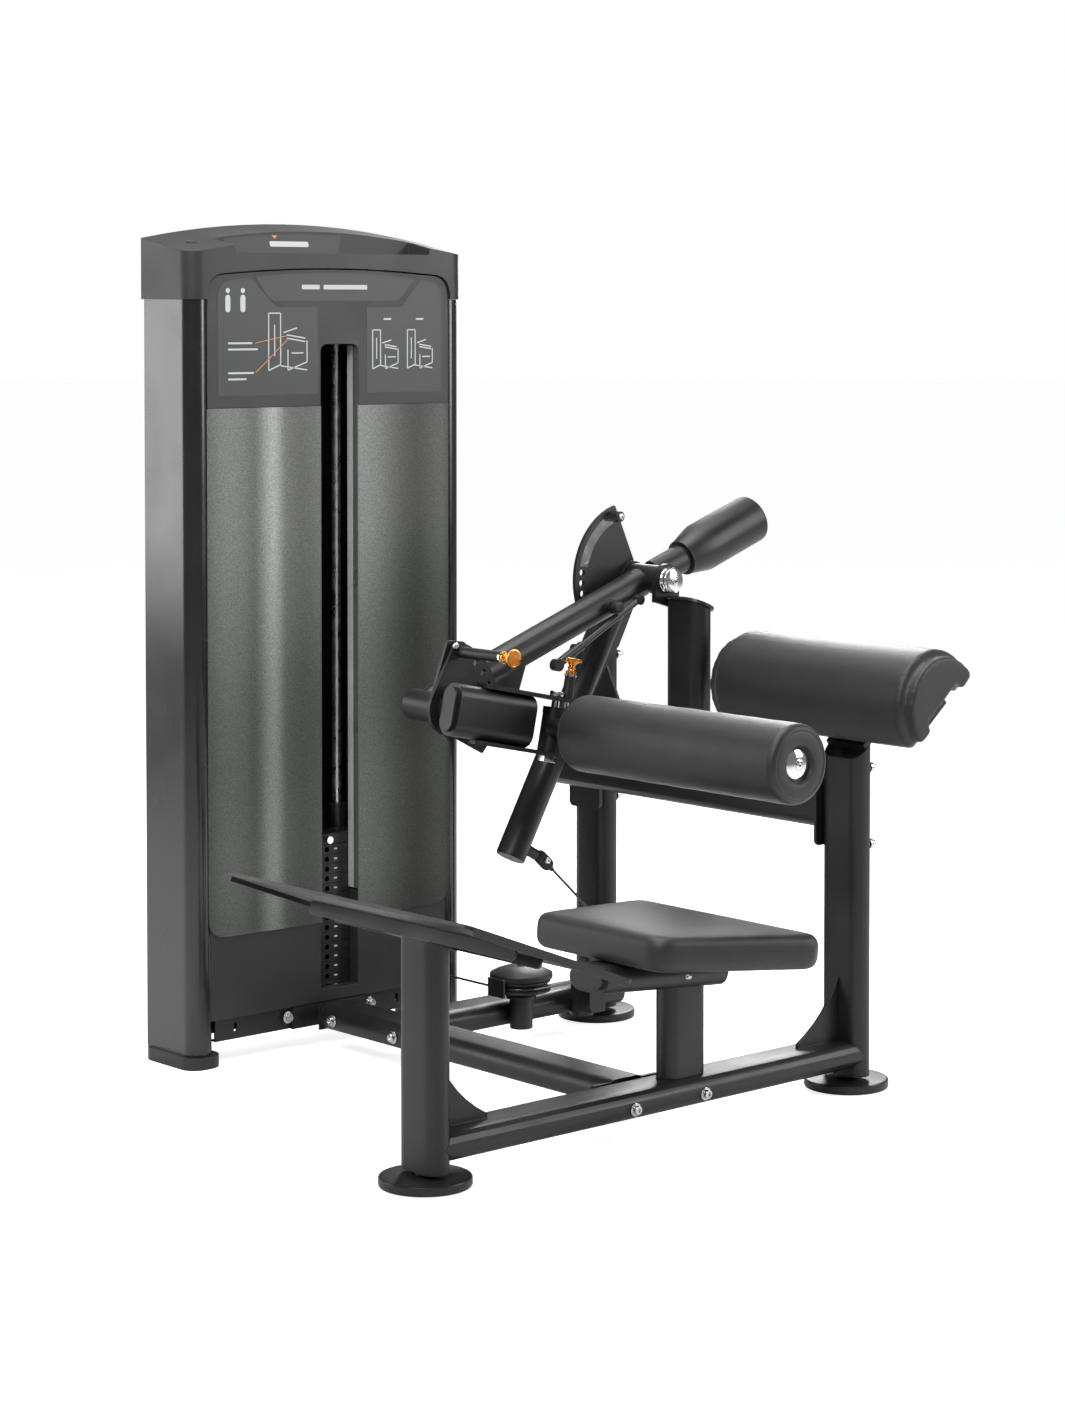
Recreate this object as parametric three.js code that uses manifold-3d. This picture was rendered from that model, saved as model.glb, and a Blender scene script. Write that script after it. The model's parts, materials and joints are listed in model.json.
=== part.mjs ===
// A selectorised hip thrust machine: a weight tower, a floor frame with seat, back pad and foot plate,
// and a counterbalanced roller arm that lifts the stack by a cable.
// Millimetres, +Z up. +X runs from the foot plate to the back pad, and +Y towards the weight tower.
import * as THREE from "three";
import { mergeVertices } from "three/addons/utils/BufferGeometryUtils.js";
import Module from "manifold-3d";

const wasm = await Module();
wasm.setup();

// ---------------------------------------------------------------- driving dimensions
const GAP = 0.3; // clearance between neighbours that touch
const TUBE_SEGMENTS = 4; // curve divisions on each half round
const TUBE = { wide: 100, thick: 50, wall: 3 }; // flat-sided frame tube
const ROUND_TUBE = { radius: 30, wall: 4 };
const PLATE = 6; // thickness of the welded plates

const POST_LINE_Y = -420; // foot post, seat post and pad post stand on this line
const FOOT_POST_X = -527;
const SEAT_POST_X = 69;
const PAD_POST_X = 508;
const FAR_POST = { x: 562, y: 338 };
const POST_BASE_Z = 26;
const RAIL_Z = 67; // centre height of the floor rails
const REAR_RAIL_Y = 300;
const SPINE_X = -16;
const BEAM_Z = 537; // centre height of the beam that joins the pad post and the far post

const FOOT_DISC = { radius: 80, height: 18, bossRadius: 17 };

const PIVOT = { x: 488, z: 932 }; // main pivot, its axis along Y
const SHAFT_RADIUS = 15;
const ARM_Y = 111; // centre plane of the roller arm
const ARM_LENGTH = 610;
const ARM_DROP = 20; // degrees below level
const DRIVE_Y = 176; // centre plane of the drive arm
const DRIVE_LENGTH = 615;
const DRIVE_LEAN = 29.7; // degrees from the vertical
const CARRIAGE_Y = 6; // centre plane of the carriage tube
const CARRIAGE_PITCH = 12; // degrees nose down
const HINGE_REACH = 231; // from the carriage's axis to the roller hinge

const ROLLER = { radius: 72.5, length: 568, inner: -82 };
const PULLEY = { radius: 49, width: 24, groove: 43.5 };

const TOWER = { left: -352, right: 333, front: 497, back: 650, top: 1491 };
const SLOT = { x: 12, width: 94, depth: 34 };
const STACK = { count: 15, pitch: 19.7, base: 100, width: 340, front: 532, back: 644 };
const ROD_SPACING = 62; // each guide rod from the stack's centre
const ROD_Y = 588;
const STACK_TOP = STACK.base + STACK.count * STACK.pitch;

// ---------------------------------------------------------------- materials
function paint(color, roughness, metalness) {
  return new THREE.MeshStandardMaterial({ color, roughness, metalness });
}

const POWDER_COAT = paint(0x1c1d1e, 0.55, 0.3);
const DARK_STEEL = paint(0x2a2b2c, 0.45, 0.6);
const CHROME = paint(0xd8dadc, 0.12, 1.0);
const ORANGE = paint(0xd9781e, 0.3, 0.8);
const VINYL = paint(0x1a1a1b, 0.6, 0.0);
const RUBBER = paint(0x111111, 0.85, 0.0);
const MOULDED = paint(0x35373a, 0.6, 0.0);
const SMOKED = paint(0x6f7370, 0.35, 0.0);
const CABLE_BLACK = paint(0x0c0c0c, 0.5, 0.0);

// ---------------------------------------------------------------- outlines
function ovalOutline(wide, thick) {
  const radius = thick / 2;
  const run = wide / 2 - radius;
  const outline = new THREE.Shape();
  outline.moveTo(-run, -radius);
  outline.lineTo(run, -radius);
  outline.absarc(run, 0, radius, -Math.PI / 2, Math.PI / 2, false);
  outline.lineTo(-run, radius);
  outline.absarc(-run, 0, radius, Math.PI / 2, Math.PI * 1.5, false);
  return outline;
}

function circleOutline(radius, x = 0, y = 0) {
  return new THREE.Shape().absarc(x, y, radius, 0, Math.PI * 2, false);
}

function rectOutline(x0, x1, y0, y1, r = 0) {
  const outline = new THREE.Shape();
  if (r === 0) {
    outline.moveTo(x0, y0).lineTo(x1, y0).lineTo(x1, y1).lineTo(x0, y1);
    return outline;
  }
  outline.moveTo(x0 + r, y0);
  outline.lineTo(x1 - r, y0);
  outline.absarc(x1 - r, y0 + r, r, -Math.PI / 2, 0, false);
  outline.lineTo(x1, y1 - r);
  outline.absarc(x1 - r, y1 - r, r, 0, Math.PI / 2, false);
  outline.lineTo(x0 + r, y1);
  outline.absarc(x0 + r, y1 - r, r, Math.PI / 2, Math.PI, false);
  outline.lineTo(x0, y0 + r);
  outline.absarc(x0 + r, y0 + r, r, Math.PI, Math.PI * 1.5, false);
  return outline;
}

function polygonOutline(points) {
  return new THREE.Shape(points.map(([x, y]) => new THREE.Vector2(x, y)));
}

function hollow(outline, inner) {
  outline.holes.push(inner);
  return outline;
}

function tubeOutline({ wide, thick, wall } = TUBE) {
  return hollow(ovalOutline(wide, thick), ovalOutline(wide - 2 * wall, thick - 2 * wall));
}

// ---------------------------------------------------------------- solids from outlines
const X = [1, 0, 0];
const Y = [0, 1, 0];
const Z = [0, 0, 1];

function vector(point) {
  return new THREE.Vector3(...point);
}

// Extrudes an outline between two points, the outline's own x along the given direction.
function bar(outline, from, to, wideAlong, curveSegments = TUBE_SEGMENTS) {
  const start = vector(from);
  const run = vector(to).sub(start);
  const z = run.clone().normalize();
  const x = vector(wideAlong);
  x.addScaledVector(z, -x.dot(z)).normalize();
  const y = z.clone().cross(x);
  const geometry = new THREE.ExtrudeGeometry(outline, {
    depth: run.length(),
    bevelEnabled: false,
    curveSegments,
  });
  return geometry.applyMatrix4(new THREE.Matrix4().makeBasis(x, y, z).setPosition(start));
}

function rod(from, to, radius, sides = 16, endRadius = radius) {
  const start = vector(from);
  const run = vector(to).sub(start);
  const geometry = new THREE.CylinderGeometry(endRadius, radius, run.length(), sides);
  geometry.translate(0, run.length() / 2, 0);
  const turn = new THREE.Quaternion().setFromUnitVectors(vector(Y), run.normalize());
  return geometry.applyQuaternion(turn).translate(start.x, start.y, start.z);
}

function box(x0, x1, y0, y1, z0, z1) {
  const geometry = new THREE.BoxGeometry(x1 - x0, y1 - y0, z1 - z0);
  return geometry.translate((x0 + x1) / 2, (y0 + y1) / 2, (z0 + z1) / 2);
}

// A plate whose outline is drawn as seen from -Y: outline x is X and outline y is Z.
function plateY(outline, y0, y1, curveSegments = 6) {
  return bar(outline, [0, y1, 0], [0, y0, 0], X, curveSegments);
}

// A plate whose outline is drawn from above: outline x is X and outline y is Y.
function plateZ(outline, z0, z1, curveSegments = 6) {
  return bar(outline, [0, 0, z0], [0, 0, z1], X, curveSegments);
}

// A plate whose outline is drawn from +X: outline x is Y and outline y is Z.
function plateX(outline, x0, x1, curveSegments = 6) {
  return bar(outline, [x0, 0, 0], [x1, 0, 0], Y, curveSegments);
}

// A solid of revolution about Z from [radius, z] points that close on themselves or on the axis.
function turned(profile, segments = 24) {
  const points = profile.map(([r, z]) => new THREE.Vector2(r, z));
  return new THREE.LatheGeometry(points, segments).rotateX(Math.PI / 2);
}

// ---------------------------------------------------------------- joining and cutting
function solid(shape) {
  if (shape instanceof wasm.Manifold) return shape;
  const bare = shape.clone();
  bare.deleteAttribute("normal");
  bare.deleteAttribute("uv");
  const merged = mergeVertices(bare, 1e-4);
  return new wasm.Manifold(
    new wasm.Mesh({
      numProp: 3,
      vertProperties: merged.attributes.position.array,
      triVerts: new Uint32Array(merged.index.array),
    }),
  );
}

function join(...shapes) {
  return shapes.map(solid).reduce((whole, part) => whole.add(part));
}

function cut(shape, ...tools) {
  return tools.map(solid).reduce((rest, tool) => rest.subtract(tool), solid(shape));
}

function common(a, b) {
  return solid(a).intersect(solid(b));
}

function geometryOf(shape) {
  if (shape instanceof THREE.BufferGeometry) return shape;
  const mesh = shape.getMesh();
  const geometry = new THREE.BufferGeometry();
  geometry.setAttribute("position", new THREE.BufferAttribute(new Float32Array(mesh.vertProperties), 3));
  geometry.setIndex(new THREE.BufferAttribute(new Uint32Array(mesh.triVerts), 1));
  geometry.computeVertexNormals();
  return geometry;
}

const machine = new THREE.Group();

function piece(name, shape, material, parent = machine) {
  const mesh = new THREE.Mesh(geometryOf(shape), material);
  mesh.name = name;
  parent.add(mesh);
  return mesh;
}

function pivotGroup(x, y, z, degrees, parent = machine) {
  const group = new THREE.Group();
  group.position.set(x, y, z);
  group.rotation.y = THREE.MathUtils.degToRad(degrees);
  parent.add(group);
  return group;
}

// ---------------------------------------------------------------- floor frame
const RAIL_BOTTOM = RAIL_Z - TUBE.thick / 2;
const RAIL_TOP = RAIL_Z + TUBE.thick / 2;

// The full outside of a post, a little oversize, for coping the tubes that meet it.
function postEnvelope(x, y, wideAlong = Y) {
  const outline = ovalOutline(TUBE.wide + 2 * GAP, TUBE.thick + 2 * GAP);
  return bar(outline, [x, y, 0], [x, y, 1200], wideAlong, TUBE_SEGMENTS);
}

function upright(x, y, z0, z1, wideAlong = Y) {
  return bar(tubeOutline(), [x, y, z0], [x, y, z1], wideAlong, TUBE_SEGMENTS);
}

function capPlate(x, y, z0, z1, wideAlong = Y) {
  return bar(ovalOutline(TUBE.wide, TUBE.thick), [x, y, z0], [x, y, z1], wideAlong, TUBE_SEGMENTS);
}

function levellingFoot(name, x, y) {
  const { radius, height, bossRadius } = FOOT_DISC;
  const stud = POST_BASE_Z - GAP;
  const disc = turned([[0, 0], [radius - 3, 0], [radius, 3], [radius, height - 4], [radius - 4, height],
    [bossRadius, height], [bossRadius, stud], [0, stud]], 20);
  piece(name, disc.translate(x, y, 0), DARK_STEEL);
}

const FOOT_PLATE = { x: FOOT_POST_X, y: POST_LINE_Y, z: 442, tilt: 21, length: 380, width: 648 };
const FOOT_CHANNEL = { width: 64, length: 540, depth: 22, wall: 5 };

function footEndPost() {
  const { x, y, z, tilt } = FOOT_PLATE;
  const above = box(-200, 200, -200, 200, -FOOT_CHANNEL.depth - PLATE - GAP, 200);
  above.rotateY(THREE.MathUtils.degToRad(tilt)).translate(x, y, z);
  const post = cut(join(upright(FOOT_POST_X, y, POST_BASE_Z, z + 60), capPlate(FOOT_POST_X, y, 395, 440)),
    above);
  const channel = footChannel().rotateY(THREE.MathUtils.degToRad(tilt)).translate(x, y, z);
  piece("foot_end_post", join(post, channel), POWDER_COAT);
}

// The folded channel on top of the post, in the foot plate's own frame.
function footChannel() {
  const { width, length, depth, wall } = FOOT_CHANNEL;
  const top = -PLATE - GAP;
  const web = box(-width / 2, width / 2, -length / 2, length / 2, top - wall, top);
  const flanges = [-1, 1].map((side) => {
    const profile = rectOutline(-length / 2, length / 2, top - depth, top, 8);
    const face = side * (width / 2 - wall / 2);
    return plateX(profile, face - wall / 2, face + wall / 2, 3);
  });
  const seat = box(-width / 2, width / 2, -60, 60, top - depth - 2, top);
  return geometryOf(join(web, ...flanges, seat));
}

function footPlate() {
  const { x, y, z, tilt, length, width } = FOOT_PLATE;
  const group = pivotGroup(x, y, z, tilt);
  const half = { x: length / 2, y: width / 2 };
  const tread = plateZ(rectOutline(-half.x, half.x, -half.y, half.y, 12), -PLATE, 0);
  const lip = 14;
  const lips = [-1, 1].map((side) => {
    const edge = side * (half.y - 2.5);
    return box(-half.x + 14, half.x - 14, edge - 2.5, edge + 2.5, -lip, -PLATE + 1);
  });
  piece("foot_plate", join(tread, ...lips), POWDER_COAT, group);
}

// A concave gusset in the XZ plane, from a post's face out along the rail's top.
function gusset(postX, side) {
  const face = postX + side * (TUBE.thick / 2 + GAP);
  const reach = 110;
  const height = 123;
  const foot = RAIL_TOP - 1;
  const outline = new THREE.Shape();
  outline.moveTo(face, foot);
  outline.lineTo(face + side * reach, foot);
  outline.lineTo(face + side * reach, RAIL_TOP + 8);
  outline.quadraticCurveTo(face + side * 32, RAIL_TOP + 50, face, RAIL_TOP + height);
  return plateY(outline, POST_LINE_Y - 4, POST_LINE_Y + 4);
}

function mainRail() {
  const tube = bar(tubeOutline(), [FOOT_POST_X, POST_LINE_Y, RAIL_Z], [PAD_POST_X, POST_LINE_Y, RAIL_Z], Y,
    TUBE_SEGMENTS);
  const coped = cut(tube, postEnvelope(FOOT_POST_X, POST_LINE_Y), postEnvelope(PAD_POST_X, POST_LINE_Y));
  const beyond = [box(-900, FOOT_POST_X, -900, 0, 0, 200), box(PAD_POST_X, 900, -900, 0, 0, 200)];
  const rail = cut(coped, ...beyond);
  piece("main_rail", join(rail, gusset(FOOT_POST_X, 1), gusset(PAD_POST_X, -1)), POWDER_COAT);
}

const SPINE_END_Y = 470;
const RAIL_FLANGE = 8;

function spineTube() {
  const start = POST_LINE_Y + TUBE.wide / 2 + GAP;
  const tube = bar(tubeOutline(), [SPINE_X, start, RAIL_Z], [SPINE_X, SPINE_END_Y, RAIL_Z], X, TUBE_SEGMENTS);
  const flange = plateY(rectOutline(SPINE_X - 85, SPINE_X + 85, RAIL_BOTTOM + 4, RAIL_TOP - 4, 10),
    start, start + RAIL_FLANGE, 3);
  const end = plateY(rectOutline(SPINE_X - 50, SPINE_X + 50, RAIL_BOTTOM, RAIL_TOP), SPINE_END_Y - 4,
    SPINE_END_Y);
  piece("spine_tube", join(tube, flange, end), POWDER_COAT);
}

const REAR_RAIL_START = SPINE_X + TUBE.wide / 2 + GAP;

function rearRail() {
  const from = [REAR_RAIL_START, REAR_RAIL_Y, RAIL_Z - 4];
  const tube = bar(tubeOutline(), from, [FAR_POST.x, REAR_RAIL_Y, RAIL_Z - 4], Y, TUBE_SEGMENTS);
  const spine = bar(ovalOutline(TUBE.wide + 2 * GAP, TUBE.thick + 2 * GAP), [SPINE_X, 0, RAIL_Z],
    [SPINE_X, 600, RAIL_Z], X, TUBE_SEGMENTS);
  const trimmed = cut(tube, postEnvelope(FAR_POST.x, FAR_POST.y), spine,
    box(FAR_POST.x, 900, 0, 600, 0, 200));
  const stub = rod([BASE_PULLEY.x, BASE_PULLEY.y, 38], [BASE_PULLEY.x, BASE_PULLEY.y, 102], 23, 20);
  const collar = rod([BASE_PULLEY.x, BASE_PULLEY.y, 98], [BASE_PULLEY.x, BASE_PULLEY.y, 104], 30, 20);
  const axle = rod([BASE_PULLEY.x, BASE_PULLEY.y, 100], [BASE_PULLEY.x, BASE_PULLEY.y, 168], AXLE_RADIUS, 12);
  piece("rear_rail", join(trimmed, stub, collar, axle, seatPulleyBracket()), POWDER_COAT);
}

// The short stub on the rail and the upright plate that carries the seat pulley's axle.
function seatPulleyBracket() {
  const { x, z } = SEAT_PULLEY;
  const face = DRIVE_Y + PULLEY.width / 2 + 2;
  const stub = rod([SEAT_STUB.x, SEAT_STUB.y, 38], [SEAT_STUB.x, SEAT_STUB.y, 108], 23, 20);
  const saddle = box(SEAT_STUB.x - 20, SEAT_STUB.x + 20, face + 1, SEAT_STUB.y, 50, 100);
  const plate = plateY(rectOutline(x - 22, x + 22, 50, z + 22, 18), face, face + 8, 3);
  const axle = rod([x, DRIVE_Y - 18, z], [x, face + 2, z], AXLE_RADIUS, 12);
  return join(stub, saddle, plate, axle);
}

function padPost() {
  const body = upright(PAD_POST_X, POST_LINE_Y, POST_BASE_Z, 720);
  const block = padFrameBox(-46, 46, POST_LINE_Y - 150, POST_LINE_Y + 150, -42, -5);
  const bracket = padFrameBox(-96, 46, POST_LINE_Y - 48, POST_LINE_Y + 48, -42, -30);
  piece("back_pad_post", join(cut(body, padFrameBox(-200, 200, -700, 0, -41, 200)), bracket, block),
    POWDER_COAT);
}

const FAR_POST_TOP = 774;

function farPost() {
  const top = FAR_POST_TOP;
  const post = join(upright(FAR_POST.x, FAR_POST.y, POST_BASE_Z, top),
    capPlate(FAR_POST.x, FAR_POST.y, top - 6, top));
  piece("far_post", post, POWDER_COAT);
}

const BEAM = { x: FAR_POST.x - TUBE.thick - GAP - 8, end: 385 };

// The beam is bolted to the pad post's back and to the far post's -X side by a flange at each.
function pivotBeam() {
  const start = POST_LINE_Y + TUBE.wide / 2 + GAP + PLATE;
  const tube = bar(tubeOutline(), [BEAM.x, start - 1, BEAM_Z], [BEAM.x, BEAM.end, BEAM_Z], Z, TUBE_SEGMENTS);
  const endCap = bar(ovalOutline(TUBE.wide, TUBE.thick), [BEAM.x, BEAM.end - 3, BEAM_Z],
    [BEAM.x, BEAM.end, BEAM_Z], Z,
    TUBE_SEGMENTS);
  const flange = plateY(rectOutline(PAD_POST_X - 32, PAD_POST_X + 32, BEAM_Z - 82, BEAM_Z + 96, 10),
    start - PLATE, start, 4);
  const face = BEAM.x + TUBE.thick / 2;
  const farFlange = plateX(rectOutline(FAR_POST.y - 46, FAR_POST.y + 46, BEAM_Z - 98, BEAM_Z + 240, 12),
    face - 1, face + 8, 4);
  const brace = plateX(polygonOutline([[FAR_POST.y - 150, BEAM_Z + 46], [FAR_POST.y - 40, BEAM_Z + 46],
    [FAR_POST.y - 40, BEAM_Z + 220], [FAR_POST.y - 58, BEAM_Z + 220]]), face - 1, face + 5);
  const vent = rod([BEAM.x, BEAM.end - 10, BEAM_Z], [BEAM.x, BEAM.end + 10, BEAM_Z], 4, 6);
  piece("pivot_beam", cut(join(tube, endCap, flange, farFlange, brace), vent), POWDER_COAT);
}

// ---------------------------------------------------------------- pivot post and shaft
const PIVOT_POST = { x: 500, y: 0, top: 886, slope: 24 };
const BRACKET = { y0: 48, y1: 60, radius: 33 };

function pivotPost() {
  const { x, y, top, slope } = PIVOT_POST;
  const base = BEAM_Z + TUBE.wide / 2 + 1;
  const tilted = box(-200, 200, -200, 200, 0, 300);
  tilted.rotateY(THREE.MathUtils.degToRad(slope)).translate(x, y, top);
  const lid = bar(ovalOutline(TUBE.wide + 12, TUBE.thick + 18), [0, 0, 0], [0, 0, PLATE], Y, TUBE_SEGMENTS);
  lid.rotateY(THREE.MathUtils.degToRad(slope)).translate(x, y, top - 0.5);
  const post = join(cut(upright(x, y, base, top + 60), tilted), lid);
  const ear = new THREE.Shape();
  ear.moveTo(PIVOT.x - BRACKET.radius, top + 4);
  ear.lineTo(PIVOT.x + BRACKET.radius - 4, top - 14);
  ear.lineTo(PIVOT.x + BRACKET.radius, PIVOT.z);
  ear.absarc(PIVOT.x, PIVOT.z, BRACKET.radius, 0, Math.PI, false);
  const bearing = plateY(ear, BRACKET.y0, BRACKET.y1, 10);
  const bore = rod([PIVOT.x, 40, PIVOT.z], [PIVOT.x, 70, PIVOT.z], SHAFT_RADIUS + GAP, 20);
  piece("pivot_post", cut(join(post, bearing), bore), POWDER_COAT);
}

const SHAFT_END = DRIVE_Y + 32;

function pivotShaft() {
  const shaft = rod([PIVOT.x, BRACKET.y0 - 6, PIVOT.z], [PIVOT.x, SHAFT_END, PIVOT.z], SHAFT_RADIUS, 20);
  const cap = turned([[0, 0], [26, 0], [26.5, 3], [22, 9], [12, 13], [0, 14]], 24);
  cap.rotateX(Math.PI / 2).translate(PIVOT.x, BRACKET.y0 - GAP, PIVOT.z);
  const washer = rod([PIVOT.x, SHAFT_END - 8, PIVOT.z], [PIVOT.x, SHAFT_END, PIVOT.z], 24, 20);
  piece("pivot_shaft", join(shaft, cap, washer), CHROME);
}

// ---------------------------------------------------------------- seat
const SEAT = { x0: -125, x1: 222, z: 374, narrow: 343, wide: 486, thick: 66, tilt: 4.6, y: -400, bevel: 20,
  corner: 20 };
const SEAT_RAIL = { x0: -147, x1: 150 };

function seatGroup() {
  return pivotGroup((SEAT.x0 + SEAT.x1) / 2, SEAT.y, SEAT.z, SEAT.tilt);
}

// An extruded pad. The bevel grows the outline, so it is drawn smaller by that much.
function cushion(outline, thick, bevel) {
  const geometry = new THREE.ExtrudeGeometry(outline, {
    depth: thick - 2 * bevel,
    bevelEnabled: true,
    bevelThickness: bevel,
    bevelSize: bevel,
    bevelSegments: 3,
    curveSegments: 4,
  });
  return geometry.translate(0, 0, bevel);
}

function seat() {
  const group = seatGroup();
  const half = (SEAT.x1 - SEAT.x0) / 2;
  const end = half - SEAT.bevel;
  const narrow = SEAT.narrow / 2 - SEAT.bevel;
  const wide = SEAT.wide / 2 - SEAT.bevel;
  const outline = roundedPolygon([[-end, -narrow], [end, -wide], [end, wide], [-end, narrow]], SEAT.corner);
  const pad = cushion(outline, SEAT.thick, SEAT.bevel).translate(0, 0, -SEAT.thick);
  piece("seat_cushion", pad, VINYL, group);
}

// A polygon with each corner rounded by a curve that starts and ends one radius from it.
function roundedPolygon(corners, radius) {
  const outline = new THREE.Shape();
  const count = corners.length;
  corners.forEach((corner, i) => {
    const at = new THREE.Vector2(...corner);
    const before = new THREE.Vector2(...corners[(i + count - 1) % count]).sub(at).normalize();
    const after = new THREE.Vector2(...corners[(i + 1) % count]).sub(at).normalize();
    const start = at.clone().addScaledVector(before, radius);
    const end = at.clone().addScaledVector(after, radius);
    if (i === 0) outline.moveTo(start.x, start.y);
    else outline.lineTo(start.x, start.y);
    outline.quadraticCurveTo(at.x, at.y, end.x, end.y);
  });
  return outline;
}

function seatPost() {
  const middle = { x: (SEAT.x0 + SEAT.x1) / 2, y: SEAT.y, z: SEAT.z };
  const tilt = THREE.MathUtils.degToRad(SEAT.tilt);
  const above = box(-400, 400, -300, 300, -SEAT.thick - GAP - TUBE.thick / 2, 300);
  above.rotateY(tilt).translate(middle.x, middle.y, middle.z);
  const z = -SEAT.thick - GAP - TUBE.thick / 2;
  const from = SEAT_RAIL.x0 - middle.x;
  const to = SEAT_RAIL.x1 - middle.x;
  const y = POST_LINE_Y - middle.y;
  const tube = bar(ovalOutline(TUBE.wide, TUBE.thick), [from, y, z], [to, y, z], Y);
  const ends = [bar(ovalOutline(TUBE.wide - 16, TUBE.thick - 16), [from - 9, y, z], [from + 1, y, z], Y),
    bar(ovalOutline(TUBE.wide - 16, TUBE.thick - 16), [to - 1, y, z], [to + 9, y, z], Y)];
  const rail = geometryOf(join(tube, ...ends)).rotateY(tilt).translate(middle.x, middle.y, middle.z);
  const post = cut(upright(SEAT_POST_X, POST_LINE_Y, RAIL_TOP + GAP, 330, X), above);
  piece("seat_post", join(post, rail), POWDER_COAT);
}

// ---------------------------------------------------------------- back pad
const BACK_PAD = { x: 556, z: 738, radius: 104, y0: -623, y1: -92, lean: 39, round: 24 };

// The pad's section: a half round whose flat side carries a channel for the mounting block.
function padSection(shrink) {
  const radius = BACK_PAD.radius - shrink;
  const outline = new THREE.Shape();
  outline.moveTo(radius - 8, -24 + shrink);
  outline.absarc(0, 0, radius, -0.1, Math.PI + 0.1, false);
  outline.lineTo(-radius + 8, -24 + shrink);
  outline.lineTo(-58, -24 + shrink);
  outline.lineTo(-50, -4 + shrink);
  outline.lineTo(50, -4 + shrink);
  outline.lineTo(58, -24 + shrink);
  return outline;
}

function backPadGroup() {
  return pivotGroup(BACK_PAD.x, 0, BACK_PAD.z, -BACK_PAD.lean);
}

function backPad() {
  const group = backPadGroup();
  const { y0, y1, round } = BACK_PAD;
  const middle = plateY(padSection(0), y0 + round, y1 - round, 14);
  const ends = [[y0, y0 + round + 1, 16], [y1 - round - 1, y1, 16]].map(([a, b]) => {
    return plateY(padSection(12), a, b, 14);
  });
  piece("back_pad", join(middle, ...ends), VINYL, group);
}

// A box in the back pad's own frame, where z is measured from the pad's axis.
function padFrameBox(x0, x1, y0, y1, z0, z1) {
  const shape = box(x0, x1, y0, y1, z0, z1);
  return shape.rotateY(THREE.MathUtils.degToRad(-BACK_PAD.lean)).translate(BACK_PAD.x, 0, BACK_PAD.z);
}

// ---------------------------------------------------------------- pulleys and cable
const CABLE_RADIUS = 2.5;
const PITCH_RADIUS = PULLEY.groove + CABLE_RADIUS + 0.5;
const BASE_PITCH_RADIUS = PITCH_RADIUS + 10; // the base pulley is 10 larger in radius
const BASE_PULLEY = { x: 261, y: DRIVE_Y + BASE_PITCH_RADIUS, z: 125, radius: PULLEY.radius + 10 };
const SEAT_STUB = { x: 432, y: 240 };
const SEAT_PULLEY = { x: 430, y: DRIVE_Y, z: BASE_PULLEY.z + PITCH_RADIUS };
const RISER_X = BASE_PULLEY.x - BASE_PITCH_RADIUS; // where the cable climbs the tower
const TOP_PULLEY_Z = 1545;
const AXLE_RADIUS = 8;

// The cable's clevis hangs from a stub on the drive arm, given in the arm's own frame.
const CLEVIS_LOCAL = { x: 76.5, z: -586 };
const LEAN = THREE.MathUtils.degToRad(DRIVE_LEAN);
const CLEVIS = {
  x: PIVOT.x + CLEVIS_LOCAL.x * Math.cos(LEAN) + CLEVIS_LOCAL.z * Math.sin(LEAN),
  z: PIVOT.z - CLEVIS_LOCAL.x * Math.sin(LEAN) + CLEVIS_LOCAL.z * Math.cos(LEAN),
};
const CLEVIS_OFFSET = new THREE.Vector2(CLEVIS.x - SEAT_PULLEY.x, CLEVIS.z - SEAT_PULLEY.z);
const SEAT_WRAP = CLEVIS_OFFSET.angle() - Math.acos(PITCH_RADIUS / CLEVIS_OFFSET.length());

function pulleyWheel(radius = PULLEY.radius) {
  const half = PULLEY.width / 2;
  const groove = radius - PULLEY.radius + PULLEY.groove;
  const bore = AXLE_RADIUS + GAP;
  return turned([[bore, -half], [radius, -half], [radius, -half + 3], [groove, -CABLE_RADIUS - 0.6],
    [groove, CABLE_RADIUS + 0.6], [radius, half - 3], [radius, half], [bore, half], [bore, -half]], 18);
}

function pulleys() {
  const aboutY = () => pulleyWheel().rotateX(Math.PI / 2);
  const aboutX = () => pulleyWheel().rotateY(Math.PI / 2);
  piece("seat_pulley", aboutY().translate(SEAT_PULLEY.x, SEAT_PULLEY.y, SEAT_PULLEY.z), MOULDED);
  const base = pulleyWheel(BASE_PULLEY.radius);
  piece("base_pulley", base.translate(BASE_PULLEY.x, BASE_PULLEY.y, BASE_PULLEY.z), MOULDED);
  piece("tower_pulley", aboutX().translate(RISER_X, TOWER_PULLEY.y, TOWER_PULLEY.z), MOULDED);
  piece("top_pulley_right", aboutY().translate(TOP_PULLEY_X[0], ROD_Y, TOP_PULLEY_Z), MOULDED);
  piece("top_pulley_centre", aboutY().translate(TOP_PULLEY_X[1], ROD_Y, TOP_PULLEY_Z), MOULDED);
}

const TOWER_PULLEY = { y: ROD_Y - PITCH_RADIUS, z: BASE_PULLEY.z + PITCH_RADIUS };
const TOP_PULLEY_X = [RISER_X - PITCH_RADIUS, SLOT.x + PITCH_RADIUS];

// The domed cover over the base pulley, with the side guard that keeps the cable in its groove.
function pulleyCover() {
  const { x, y, z, radius } = BASE_PULLEY;
  const under = z + PULLEY.width / 2 + 2;
  const dome = turned([[AXLE_RADIUS + GAP, under], [radius + 4, under], [radius + 4, under + 10],
    [radius - 8, under + 16],
    [34, under + 22], [AXLE_RADIUS + GAP, under + 25], [AXLE_RADIUS + GAP, under]], 28);
  const tab = box(-radius - 9, -radius - 4, -24, 24, z - 16, under + 6);
  const bridge = box(-radius - 9, -radius + 4, -24, 24, under, under + 5);
  piece("base_pulley_cover", join(dome, tab, bridge).translate([x, y, 0]), POWDER_COAT);
}

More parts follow.
